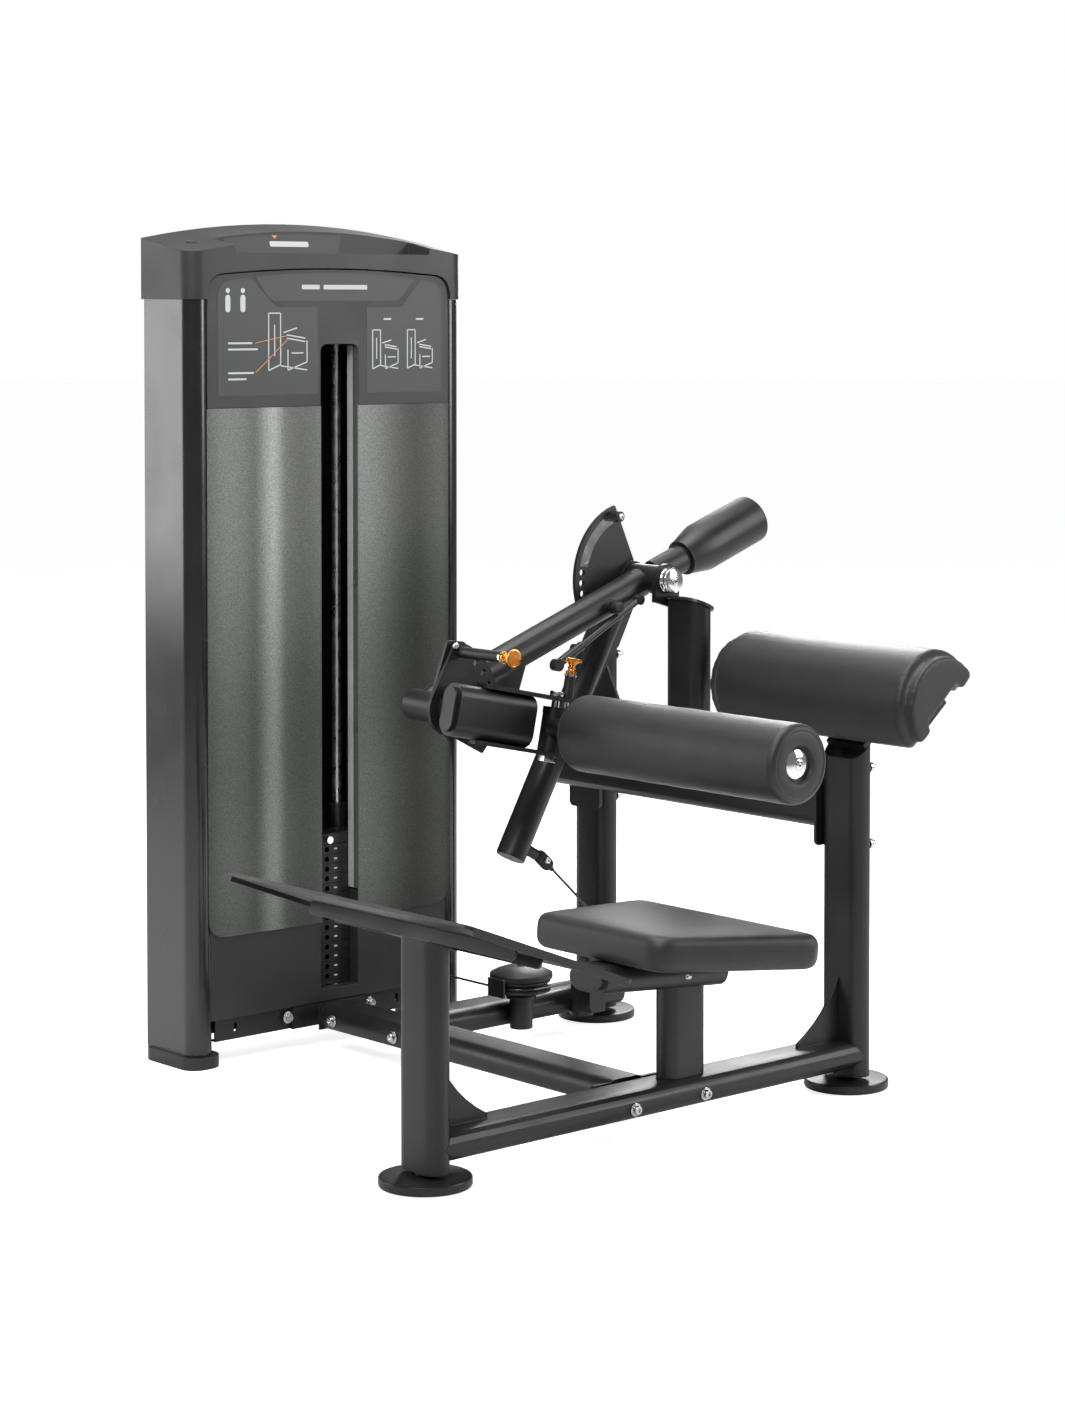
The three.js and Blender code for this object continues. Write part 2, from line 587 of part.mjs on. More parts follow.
// Where the tangents of an arc cross: straight links between them touch the pitch circle.
function arcPoints(centre, radius, startDegrees, endDegrees, count, place) {
  const step = THREE.MathUtils.degToRad(endDegrees - startDegrees) / count;
  const reach = radius / Math.cos(step / 2);
  return Array.from({ length: count }, (_, i) => {
    const angle = THREE.MathUtils.degToRad(startDegrees) + (i + 0.5) * step;
    return place(centre[0] + reach * Math.cos(angle), centre[1] + reach * Math.sin(angle));
  });
}

// The cable's fixed route: under the seat pulley, round the base pulley, up the tower and over its top.
function fixedCableRoute() {
  const seatPlane = (x, z) => [x, DRIVE_Y, z];
  const floorPlane = (x, y) => [x, y, BASE_PULLEY.z];
  const risePlane = (y, z) => [RISER_X, y, z];
  const topPlane = (x, z) => [x, ROD_Y, z];
  return [
    seatPlane(SEAT_PULLEY.x + PITCH_RADIUS * Math.cos(SEAT_WRAP),
      SEAT_PULLEY.z + PITCH_RADIUS * Math.sin(SEAT_WRAP)),
    ...arcPoints([SEAT_PULLEY.x, SEAT_PULLEY.z], PITCH_RADIUS, THREE.MathUtils.radToDeg(SEAT_WRAP), -90, 6,
      seatPlane),
    ...arcPoints([BASE_PULLEY.x, BASE_PULLEY.y], BASE_PITCH_RADIUS, -90, -180, 4, floorPlane),
    ...arcPoints([TOWER_PULLEY.y, TOWER_PULLEY.z], PITCH_RADIUS, -90, 0, 4, risePlane),
    ...arcPoints([TOP_PULLEY_X[0], TOP_PULLEY_Z], PITCH_RADIUS, 0, 90, 4, topPlane),
    ...arcPoints([TOP_PULLEY_X[1], TOP_PULLEY_Z], PITCH_RADIUS, 90, 180, 4, topPlane),
    topPlane(SLOT.x, TOP_PULLEY_Z),
  ];
}

// A route of straight links: its steps fall on the points themselves, so every corner is mitred.
class LinkedRoute extends THREE.Curve {
  constructor(points) {
    super();
    this.points = points.map(vector);
  }

  getUtoTmapping(u) {
    return u;
  }

  getPoint(t) {
    const links = this.points.length - 1;
    const link = Math.min(Math.floor(t * links), links - 1);
    return this.points[link].clone().lerp(this.points[link + 1], t * links - link);
  }
}

function cableAlong(points) {
  return new THREE.ExtrudeGeometry(circleOutline(CABLE_RADIUS), {
    steps: points.length - 1,
    curveSegments: 4,
    bevelEnabled: false,
    extrudePath: new LinkedRoute(points),
  });
}

function cables() {
  const route = fixedCableRoute();
  piece("fixed_cable", cableAlong(route), CABLE_BLACK);
  const start = route[0];
  const toClevis = vector([CLEVIS.x, DRIVE_Y, CLEVIS.z]).sub(vector(start)).normalize();
  const from = vector(start).addScaledVector(toClevis, CABLE_RADIUS + 1);
  const to = vector([CLEVIS.x, DRIVE_Y, CLEVIS.z]).addScaledVector(toClevis, -CLEVIS_SIZE.length - GAP);
  piece("drive_cable", rod(from.toArray(), to.toArray(), CABLE_RADIUS, 8), CABLE_BLACK);
  piece("lift_cable", rod([SLOT.x, ROD_Y, TOP_PLATE.top + 22 + GAP], [SLOT.x, ROD_Y, TOP_PULLEY_Z - 4],
    CABLE_RADIUS, 8),
    CABLE_BLACK);
}

// ---------------------------------------------------------------- weight tower
const COLUMN_WIDE = 60;
const COLUMN_BASE = 24;
const INSIDE = { left: TOWER.left + COLUMN_WIDE + GAP, right: TOWER.right - COLUMN_WIDE - GAP };

function columnOutline(x0, shrink) {
  const x1 = x0 + COLUMN_WIDE - shrink;
  const left = x0 + shrink;
  const radius = (x1 - left) / 2;
  const front = TOWER.front + shrink + radius;
  const back = TOWER.back - shrink;
  const outline = new THREE.Shape();
  outline.moveTo(left, back);
  outline.lineTo(left, front);
  outline.absarc(left + radius, front, radius, Math.PI, Math.PI * 2, false);
  outline.lineTo(x1, back);
  return outline;
}

// Both columns a little oversize, to cut the covers that lie against their round fronts.
function columnEnvelopes() {
  return [TOWER.left, TOWER.right - COLUMN_WIDE].map((x0) => {
    return plateZ(columnOutline(x0, -GAP), 0, TOWER.top + 60, 6);
  });
}

function towerColumn(name, x0) {
  const outline = hollow(columnOutline(x0, 0), columnOutline(x0, 2.5));
  piece(`${name}_column`, plateZ(outline, COLUMN_BASE, TOWER.top, 6), POWDER_COAT);
  const margin = 11;
  const pad = rectOutline(x0 - margin, x0 + COLUMN_WIDE + margin, TOWER.front - margin, TOWER.back + 6, 34);
  const lower = plateZ(pad, 0, COLUMN_BASE - GAP, 4);
  piece(`${name}_column_foot`, lower, DARK_STEEL);
}

const CROSS_MEMBER_Y = 506;

function crossMember() {
  const front = CROSS_MEMBER_Y;
  const z = { low: 45, high: 95 };
  const face = plateY(hollow(
    hollow(rectOutline(INSIDE.left, INSIDE.right, z.low, z.high), slotHole(-243, 68)), slotHole(163, 68)),
  front, front + 5, 3);
  const shelves = [z.low, z.high - 4].map((low) => box(INSIDE.left, INSIDE.right, front + 1, front + 14,
    low, low + 4));
  const bracket = box(SPINE_X - 92, SPINE_X + 92, front - 7, front + 1, 44, COVER.bottom - 1);
  piece("tower_cross_member", cut(join(face, ...shelves, bracket), spineEnvelope()), POWDER_COAT);
}

function slotHole(x, z) {
  const outline = new THREE.Shape();
  outline.absarc(x, z + 5, 4, 0, Math.PI, false);
  outline.absarc(x, z - 5, 4, Math.PI, Math.PI * 2, false);
  return outline;
}

function spineEnvelope() {
  return bar(ovalOutline(TUBE.wide + 2 * GAP, TUBE.thick + 2 * GAP), [SPINE_X, 100, RAIL_Z],
    [SPINE_X, SPINE_END_Y + GAP, RAIL_Z], X);
}

function stackBase() {
  const front = CROSS_MEMBER_Y + 14 + GAP;
  const tray = box(INSIDE.left, INSIDE.right, front, TOWER.back - 4, 60, 70);
  const rear = box(INSIDE.left, INSIDE.right, TOWER.back - 12, TOWER.back - 4, 60, STACK.base - 4);
  const buffers = [-ROD_SPACING, ROD_SPACING].map((side) => {
    return rod([SLOT.x + side, ROD_Y, 66], [SLOT.x + side, ROD_Y, STACK.base - GAP], 24, 20);
  });
  const lugs = [-1, 1].map((side) => {
    const x = RISER_X + side * 16;
    return box(x - 2.5, x + 2.5, TOWER_PULLEY.y - 20, TOWER_PULLEY.y + 20, 66, TOWER_PULLEY.z + 18);
  });
  const axle = rod([RISER_X - 18, TOWER_PULLEY.y, TOWER_PULLEY.z],
    [RISER_X + 18, TOWER_PULLEY.y, TOWER_PULLEY.z], AXLE_RADIUS, 12);
  const sockets = guideRodEnvelopes(60, 200);
  piece("stack_base", cut(join(tray, rear, ...buffers, ...lugs, axle), ...sockets), DARK_STEEL);
}

function guideRodEnvelopes(z0, z1, radius = 9.8) {
  return [-ROD_SPACING, ROD_SPACING].map((side) => {
    const x = SLOT.x + side;
    return rod([x, ROD_Y, z0 - 10], [x, ROD_Y, z1], radius, 16);
  });
}

function guideRods() {
  [-1, 1].forEach((side) => {
    const x = SLOT.x + side * ROD_SPACING;
    const name = side < 0 ? "left_guide_rod" : "right_guide_rod";
    piece(name, rod([x, ROD_Y, 62], [x, ROD_Y, TOP_MEMBER_Z - GAP], 9.5, 16), CHROME);
  });
}

const TOP_MEMBER_Z = TOWER.top - 14;

// The plate across the top of the columns, with the pulley lugs above it inside the cap.
function topMember() {
  const plate = box(INSIDE.left, INSIDE.right, ROD_Y - 40, ROD_Y + 40, TOP_MEMBER_Z, TOP_MEMBER_Z + 8);
  const flanges = [ROD_Y - 40, ROD_Y + 36].map((y) => {
    return box(INSIDE.left, INSIDE.right, y, y + 4, TOP_MEMBER_Z - 30, TOP_MEMBER_Z + 1);
  });
  const lugs = TOP_PULLEY_X.flatMap((x) => [-1, 1].map((side) => {
    const y = ROD_Y + side * 17;
    return box(x - 16, x + 16, y - 2.5, y + 2.5, TOP_MEMBER_Z + 4, TOP_PULLEY_Z + 16);
  }));
  const axles = TOP_PULLEY_X.map((x) => {
    return rod([x, ROD_Y - 18, TOP_PULLEY_Z], [x, ROD_Y + 18, TOP_PULLEY_Z], AXLE_RADIUS, 12);
  });
  const cableHoles = [SLOT.x, RISER_X].map((x) => {
    return rod([x, ROD_Y, TOP_MEMBER_Z - 20], [x, ROD_Y, TOP_MEMBER_Z + 30], 8, 12);
  });
  piece("tower_top_member", cut(join(plate, ...flanges, ...lugs, ...axles), ...cableHoles), DARK_STEEL);
}

// ---------------------------------------------------------------- tower covers
const CAP = { left: TOWER.left - 4, right: TOWER.right + 3, front: 492, back: 654, top: 1643, drop: 32,
  slope: 0.19, wall: 3,
  corner: 34 };
const CAP_CENTRE = (CAP.left + CAP.right) / 2;
const TRAY = { left: -242, right: 236, floor: 1574, lip: 1582, lipBack: 497 };
const BOARD = { left: -312, right: 294, bottom: 1280, shoulder: 1540, crown: 1551, corner: 46 };

// The arched roof line as a solid above it, lower towards the front.
function aboveRoof(lower) {
  const half = (CAP.right - CAP.left) / 2;
  const outline = new THREE.Shape();
  const top = CAP.top - lower;
  outline.moveTo(CAP.left - 20, top + 200);
  outline.lineTo(CAP.left - 20, top - CAP.drop);
  outline.lineTo(CAP.left, top - CAP.drop);
  outline.quadraticCurveTo(CAP_CENTRE, top + CAP.drop, CAP.left + 2 * half, top - CAP.drop);
  outline.lineTo(CAP.right + 20, top - CAP.drop);
  outline.lineTo(CAP.right + 20, top + 200);
  const block = plateY(outline, CAP.front - 20, CAP.back + 20, 14);
  const shear = new THREE.Matrix4().set(1, 0, 0, 0, 0, 1, 0, 0, 0, CAP.slope, 1, -CAP.slope * CAP.back, 0,
    0, 0, 1);
  return block.applyMatrix4(shear);
}

function boardOutline(grow) {
  const { left, right, bottom, shoulder, crown, corner } = BOARD;
  const outline = new THREE.Shape();
  outline.moveTo(left - grow, bottom - grow);
  outline.lineTo(right + grow, bottom - grow);
  outline.lineTo(right + grow, shoulder - corner);
  outline.quadraticCurveTo(right + grow, shoulder + grow, right - corner, shoulder + grow);
  outline.quadraticCurveTo((left + right) / 2, 2 * crown - shoulder + grow, left + corner, shoulder + grow);
  outline.quadraticCurveTo(left - grow, shoulder + grow, left - grow, shoulder - corner);
  return outline;
}

// A plan outline whose two front corners are round.
function roundFront(left, right, front, back) {
  const outline = new THREE.Shape();
  const r = CAP.corner;
  outline.moveTo(left, back);
  outline.lineTo(left, front + r);
  outline.absarc(left + r, front + r, r, Math.PI, Math.PI * 1.5, false);
  outline.absarc(right - r, front + r, r, -Math.PI / 2, 0, false);
  outline.lineTo(right, back);
  return outline;
}

function towerCap() {
  const { left, right, front, back, top, wall } = CAP;
  const shell = cut(plateZ(roundFront(left, right, front, back), TOWER.top + GAP, top + 60, 4), aboveRoof(0));
  const inner = cut(plateZ(roundFront(left + wall, right - wall, front + wall + 9, back - wall),
    TOWER.top - 20, top + 60, 4),
    aboveRoof(wall));
  const trayWalls = plateX(polygonOutline([[front - 20, TRAY.lip], [TRAY.lipBack, TRAY.lip],
    [TRAY.lipBack, TRAY.floor],
    [556, TRAY.floor], [592, 1720], [front - 20, 1720]]), left, right);
  const trayEnds = plateY(polygonOutline([[TRAY.left, TRAY.floor - 10], [TRAY.right, TRAY.floor - 10],
    [TRAY.right + 30, 1720], [TRAY.left - 30, 1720]]), front - 30, back);
  const tray = common(trayWalls, trayEnds);
  const trayFloor = common(box(TRAY.left - 60, TRAY.right + 60, front + 3, 600, TRAY.floor - wall, 1720),
    plateX(polygonOutline([[front + 3, TRAY.floor - wall], [559, TRAY.floor - wall], [600, 1720],
      [front + 3, 1720]]), left + wall,
      right - wall));
  const opening = plateY(boardOutline(2), front - 10, front + 13, 6);
  const cavity = cut(inner, trayFloor);
  piece("tower_cap", cut(shell, cavity, tray, opening), MOULDED);
}

const SLOT_LEFT = SLOT.x - SLOT.width / 2;
const SLOT_RIGHT = SLOT.x + SLOT.width / 2;
const SLOT_TOP = 1402;

function instructionBoard() {
  const plate = plateY(boardOutline(0), TOWER.front, TOWER.front + 5, 6);
  const notch = plateY(rectOutline(SLOT_LEFT, SLOT_RIGHT, BOARD.bottom - 60, SLOT_TOP, 14),
    TOWER.front - 5, TOWER.front + 12, 3);
  piece("instruction_board", cut(plate, notch, ...columnEnvelopes()), MOULDED);
}

const WINDOW = { bottom: 250, top: BOARD.bottom - GAP, thick: 4, round: 42, depth: SLOT.depth,
  sideStart: 55 };

// A smoked front panel: its face, and the two sides folded back into the tower.
function window(name, x0, x1, roundLeft) {
  const y = TOWER.front;
  const outline = new THREE.Shape();
  const r = WINDOW.round;
  const [outer, inner] = roundLeft ? [x0, x1] : [x1, x0];
  const inward = roundLeft ? 1 : -1;
  outline.moveTo(outer, WINDOW.top);
  outline.lineTo(outer, WINDOW.bottom + r);
  outline.quadraticCurveTo(outer, WINDOW.bottom, outer + inward * r, WINDOW.bottom);
  outline.lineTo(inner, WINDOW.bottom - 2);
  outline.lineTo(inner, WINDOW.top);
  const face = plateY(outline, y, y + WINDOW.thick, 5);
  const sides = [x0, x1 - WINDOW.thick].map((x) => {
    return box(x, x + WINDOW.thick, y + 1, y + WINDOW.depth, WINDOW.bottom + WINDOW.sideStart, WINDOW.top);
  });
  piece(name, cut(join(face, ...sides), ...columnEnvelopes()), SMOKED);
}

const COVER = { bottom: 88, top: 304, y: TOWER.front + WINDOW.thick + GAP, thick: 3 };

function lowerCover() {
  const { bottom, top, y, thick } = COVER;
  const notchLow = 112;
  const face = plateY(rectOutline(BOARD.left, BOARD.right, bottom, top, 5), y, y + thick, 3);
  const sides = [BOARD.left, BOARD.right - thick].map((x) => box(x, x + thick, y + 1, y + 26, bottom + 8,
    top - 2));
  const notch = box(SLOT_LEFT, SLOT_RIGHT, y - 5, y + 60, notchLow, top + 5);
  const cheeks = [SLOT_LEFT - thick, SLOT_RIGHT].map((x) => box(x, x + thick, y + 1, y + 27,
    notchLow - thick, top - 2));
  const sill = box(SLOT_LEFT - thick, SLOT_RIGHT + thick, y + 1, y + 27, notchLow - thick, notchLow);
  const pulleySlot = box(RISER_X - 20, RISER_X + 20, y - 5, y + 40, 104, TOWER_PULLEY.z + PULLEY.radius + 12);
  piece("lower_cover", cut(join(cut(face, notch, pulleySlot), ...sides, ...cheeks, sill),
    ...columnEnvelopes()), MOULDED);
}

function rearCover() {
  piece("rear_cover", box(INSIDE.left, INSIDE.right, TOWER.back - 3, TOWER.back - 1, 58, TOWER.top - 10),
    MOULDED);
}

// ---------------------------------------------------------------- weight stack
const STACK_LEFT = SLOT.x - STACK.width / 2;
const STACK_RIGHT = SLOT.x + STACK.width / 2;
const TOP_PLATE = { bottom: STACK_TOP + GAP, top: STACK_TOP + 22 };
const STEM_RADIUS = 12;
const PIN_RADIUS = 4.7;

function pinHole(z, depth) {
  return rod([SLOT.x - 8, STACK.front - 5, z], [SLOT.x - 8, STACK.front + depth, z], PIN_RADIUS + GAP, 8);
}

// Fifteen plates resting on each other: one block with a groove round it at each joint.
function restingPlates() {
  const groove = { depth: 2, high: 0.8 };
  const joints = Array.from({ length: STACK.count - 1 }, (_, i) => STACK.base + (i + 1) * STACK.pitch);
  const block = box(STACK_LEFT, STACK_RIGHT, STACK.front, STACK.back, STACK.base, STACK_TOP);
  const core = box(STACK_LEFT + groove.depth, STACK_RIGHT - groove.depth, STACK.front + groove.depth,
    STACK.back - groove.depth, STACK.base - 10, STACK_TOP + 10);
  const grooves = joints.map((z) => {
    const slab = box(STACK_LEFT - 5, STACK_RIGHT + 5, STACK.front - 5, STACK.back + 5, z - groove.high, z);
    return cut(slab, core);
  });
  const holes = [STACK.base, ...joints].map((z) => pinHole(z + STACK.pitch / 2, 30));
  const stem = rod([SLOT.x, ROD_Y, STACK.base - 5], [SLOT.x, ROD_Y, STACK_TOP + 5], STEM_RADIUS + 2, 12);
  const bores = guideRodEnvelopes(STACK.base - 5, STACK_TOP + 5, 12);
  piece("resting_plates", cut(block, ...grooves, ...holes, stem, ...bores), DARK_STEEL);
}

// The plate that always lifts: guide collars on top and the selector stem below.
function topPlate() {
  const { bottom, top } = TOP_PLATE;
  const plate = box(STACK_LEFT, STACK_RIGHT, STACK.front, STACK.back, bottom, top);
  const collars = [-ROD_SPACING, ROD_SPACING].map((side) => {
    return rod([SLOT.x + side, ROD_Y, top - 1], [SLOT.x + side, ROD_Y, top + 50], 20, 20);
  });
  const stem = rod([SLOT.x, ROD_Y, STACK.base + 12], [SLOT.x, ROD_Y, top + 22], STEM_RADIUS, 12);
  const bores = guideRodEnvelopes(bottom - 5, top + 60, 9.9);
  piece("top_plate", cut(join(plate, ...collars, stem), ...bores, pinHole(SELECTOR_Z, 33)), DARK_STEEL);
}

const SELECTOR_Z = STACK_TOP + 11;

function selectorPin() {
  const x = SLOT.x - 8;
  const z = SELECTOR_Z;
  const shank = rod([x, STACK.front - 4, z], [x, STACK.front + 32, z], PIN_RADIUS, 8);
  const head = rod([x, STACK.front - 12, z], [x, STACK.front - GAP, z], 8, 14);
  piece("selector_pin", join(shank, head), CHROME);
}

// ---------------------------------------------------------------- drive lever
const CLEVIS_SIZE = { length: 34, radius: 12 };
const QUADRANT = { radius: 153, y0: 154, y1: 162, from: 107, to: 206, holes: [173, 182, 191, 200],
  holeRadius: 7 };
const HOLE_CIRCLE = 135;

function driveLever() {
  const group = pivotGroup(PIVOT.x, 0, PIVOT.z, DRIVE_LEAN);
  const hub = rod([0, 146, 0], [0, 196, 0], 33, 24);
  const { radius, wall } = ROUND_TUBE;
  const length = DRIVE_LENGTH;
  const tube = bar(hollow(circleOutline(radius), circleOutline(radius - wall)), [0, DRIVE_Y, -24],
    [0, DRIVE_Y, -length], X, 10);
  const stub = rod([radius - 2, DRIVE_Y, CLEVIS_LOCAL.z], [CLEVIS_LOCAL.x - 17, DRIVE_Y, CLEVIS_LOCAL.z],
    11, 14);
  const tongue = box(CLEVIS_LOCAL.x - 19, CLEVIS_LOCAL.x + 6, DRIVE_Y - 4, DRIVE_Y + 4, CLEVIS_LOCAL.z - 8,
    CLEVIS_LOCAL.z + 8);
  const rib = plateY(polygonOutline([[radius - 4, -45], [radius + 22, -45], [radius + 24, -130],
    [radius + 16, -150],
    [radius - 4, -420]]), DRIVE_Y - 4, DRIVE_Y + 4);
  const end = rod([0, DRIVE_Y, -length + 4], [0, DRIVE_Y, -length - 3], radius - 1, 20);
  const bore = rod([0, 100, 0], [0, 260, 0], SHAFT_RADIUS + GAP, 20);
  const vent = rod([0, DRIVE_Y, -length + 10], [0, DRIVE_Y, -length - 10], 3, 6);
  piece("drive_arm", cut(join(hub, tube, stub, tongue, rib, end), bore, vent), POWDER_COAT, group);
}

function cableClevis() {
  const group = new THREE.Group();
  group.position.set(CLEVIS.x, DRIVE_Y, CLEVIS.z);
  group.rotation.y = Math.PI / 2 - SEAT_WRAP;
  machine.add(group);
  const { length, radius } = CLEVIS_SIZE;
  const body = rod([-8, 0, 0], [length, 0, 0], radius, 16);
  const slot = box(-30, 14, -4.6, 4.6, -30, 30);
  const pin = rod([0, -radius - 1.5, 0], [0, -4.4, 0], 5, 10);
  piece("cable_clevis", join(cut(body, slot), pin), RUBBER, group);
}

function quadrant() {
  const group = pivotGroup(PIVOT.x, 0, PIVOT.z, 0);
  const { radius, y0, y1, from, to, holes, holeRadius } = QUADRANT;
  const angle = THREE.MathUtils.degToRad;
  const outline = new THREE.Shape();
  outline.moveTo(24 * Math.cos(angle(from - 50)), 24 * Math.sin(angle(from - 50)));
  outline.lineTo(radius * Math.cos(angle(from)), radius * Math.sin(angle(from)));
  outline.absarc(0, 0, radius, angle(from), angle(to), false);
  outline.lineTo(30 * Math.cos(angle(to + 30)), 30 * Math.sin(angle(to + 30)));
  const plate = plateY(outline, y0, y1, 16);
  const pins = holes.map((degrees) => {
    const x = HOLE_CIRCLE * Math.cos(angle(degrees));
    const z = HOLE_CIRCLE * Math.sin(angle(degrees));
    return rod([x, y0 - 5, z], [x, y1 + 5, z], holeRadius, 12);
  });
  const hub = rod([0, 100, 0], [0, 260, 0], 33 + GAP, 24);
  const stopAngle = angle(from + 5);
  const stop = [HOLE_CIRCLE * Math.cos(stopAngle), HOLE_CIRCLE * Math.sin(stopAngle)];
  const buffer = rod([stop[0], y0 - 22, stop[1]], [stop[0], y0 + 1, stop[1]], 11, 16);
  const arm = rod([0, DRIVE_Y, 0], [0, DRIVE_Y, -300], ROUND_TUBE.radius + GAP, 20);
  arm.rotateY(angle(DRIVE_LEAN));
  piece("quadrant", join(cut(plate, ...pins, hub, arm), buffer), POWDER_COAT, group);
}

// ---------------------------------------------------------------- roller arm
const armGroup = pivotGroup(PIVOT.x, 0, PIVOT.z, -ARM_DROP);
const CARRIAGE_SHAFT_RADIUS = 12;

function rollerArm() {
  const { radius } = ROUND_TUBE;
  const hubX = -ARM_LENGTH;
  const sleeve = rod([0, 63, 0], [0, 145, 0], 29, 24);
  const tube = rod([-20, ARM_Y, 0], [hubX + 10, ARM_Y, 0], radius, 20);
  const hub = rod([hubX, 56, 0], [hubX, 147, 0], radius, 20);
  const sector = sectorPlate(hubX);
  const web = plateY(polygonOutline([[hubX, -10], [hubX + 30, -88], [hubX + 205, -88], [hubX + 262, -20],
    [hubX + 262, 0],
    [hubX, 0]]), ARM_Y - 4, ARM_Y + 4);
  const neck = rod([20, ARM_Y, 0], [104, ARM_Y, 0], 29, 20);
  const bores = [rod([0, 40, 0], [0, 200, 0], SHAFT_RADIUS + GAP, 20),
    rod([hubX, 20, 0], [hubX, 200, 0], CARRIAGE_SHAFT_RADIUS + GAP, 16),
    rod([PIN_HOLE.x, 40, PIN_HOLE.z], [PIN_HOLE.x, 200, PIN_HOLE.z], RANGE_PIN_RADIUS + GAP, 12)];
  const barrel = rod([PIN_HOLE.x, ARM_Y - 42, PIN_HOLE.z], [PIN_HOLE.x, 145, PIN_HOLE.z], 14, 16);
  piece("roller_arm", cut(join(sleeve, tube, hub, sector, web, neck, barrel), ...bores), POWDER_COAT,
    armGroup);
}

const RANGE_PIN_RADIUS = 6;
const PIN_HOLE = { x: -HOLE_CIRCLE, z: 0 };

const START_HOLES = { count: 5, step: 14 };
const SECTOR_Y = 50;

// The start-position disc on the arm's hub, with its row of stop holes below the pin.
function sectorPlate(hubX) {
  const radius = 128;
  const angle = THREE.MathUtils.degToRad;
  const outline = new THREE.Shape();
  outline.moveTo(-24, -34);
  outline.lineTo(radius * Math.cos(angle(-66)), radius * Math.sin(angle(-66)));
  outline.absarc(0, 0, radius, angle(-62), angle(START_ANGLE + 12), false);
  outline.lineTo(-38, 20);
  const plate = plateY(outline, SECTOR_Y, SECTOR_Y + 7, 10);
  const holes = Array.from({ length: START_HOLES.count }, (_, i) => {
    const turn = angle(START_ANGLE - START_HOLES.step * i);
    const x = START_PIN_RADIUS * Math.cos(turn);
    const z = START_PIN_RADIUS * Math.sin(turn);
    return rod([x, 45, z], [x, 62, z], 6.5, 12);
  });
  return geometryOf(cut(plate, ...holes)).translate(hubX, 0, 0);
}

const START_PIN_RADIUS = 109;
const START_PIN_X = 3;
const START_ANGLE = THREE.MathUtils.radToDeg(Math.atan2(START_PIN_RADIUS,
  START_PIN_X)) - ARM_DROP - CARRIAGE_PITCH;

function counterweight() {
  const profile = [[0, 104 + GAP], [37, 104 + GAP], [37, 110], [50, 160], [50, 313], [46, 317], [0, 317]];
  const weight = turned(profile, 28).rotateY(Math.PI / 2).translate(0, ARM_Y, 0);
  piece("counterweight", weight, POWDER_COAT, armGroup);
}

// A slim link under the arm: a rod that runs into a thicker barrel, with an eye at each end.
function armStrut() {
  const y = ARM_Y - 39;
  const from = [-66, y, -15];
  const to = [-311, y, -47];
  const collar = [-238, y, -37.5];
  const shape = join(rod(from, collar, 6.5, 12), rod(collar, to, 9, 14),
    rod([from[0], y - 7, from[2]], [from[0], y + 8, from[2]], 10, 14),
    rod([to[0], y - 9, to[2]], [to[0], y + 8, to[2]], 12, 14));
  piece("arm_strut", shape, DARK_STEEL, armGroup);
}

function rangePin() {
  const { x, z } = PIN_HOLE;
  const rodPart = rod([x, ARM_Y - 58, z], [x, QUADRANT.y0 - GAP, z], RANGE_PIN_RADIUS, 12);
  const head = rod([x, ARM_Y - 60, z], [x, ARM_Y - 43, z], 11, 14);
  piece("range_pin", join(rodPart, head), DARK_STEEL, armGroup);
}

// ---------------------------------------------------------------- carriage
const hubGroup = pivotGroup(-ARM_LENGTH, 0, 0, ARM_DROP + CARRIAGE_PITCH, armGroup);
const CARRIAGE = { x0: -36, x1: 165, wide: 100, thick: 50, plate: 7 };
const HINGE_RADIUS = 8;
const SWING_PIN_X = HINGE_REACH + 27;
const SWING_BARREL = 48;
const LUG_TOP = 36; // top of the roller bracket's lug, which the swing pin locks

function capsule(x0, x1) {
  const end = 9;
  const inset = 8;
  return join(bar(ovalOutline(CARRIAGE.wide, CARRIAGE.thick), [x0 + end, CARRIAGE_Y, 0],
    [x1, CARRIAGE_Y, 0], Z),
    bar(ovalOutline(CARRIAGE.wide - 2 * inset, CARRIAGE.thick - 2 * inset), [x0, CARRIAGE_Y, 0],
      [x0 + end + 1, CARRIAGE_Y, 0], Z));
}

function teardrop() {
  const outline = new THREE.Shape();
  const angle = THREE.MathUtils.degToRad;
  outline.absarc(0, 0, 50, angle(165), angle(375), false);
  outline.lineTo(20, START_PIN_RADIUS + 8);
  outline.absarc(START_PIN_X, START_PIN_RADIUS, 20, angle(20), angle(160), false);
  return plateY(outline, 40, 48, 6);
}

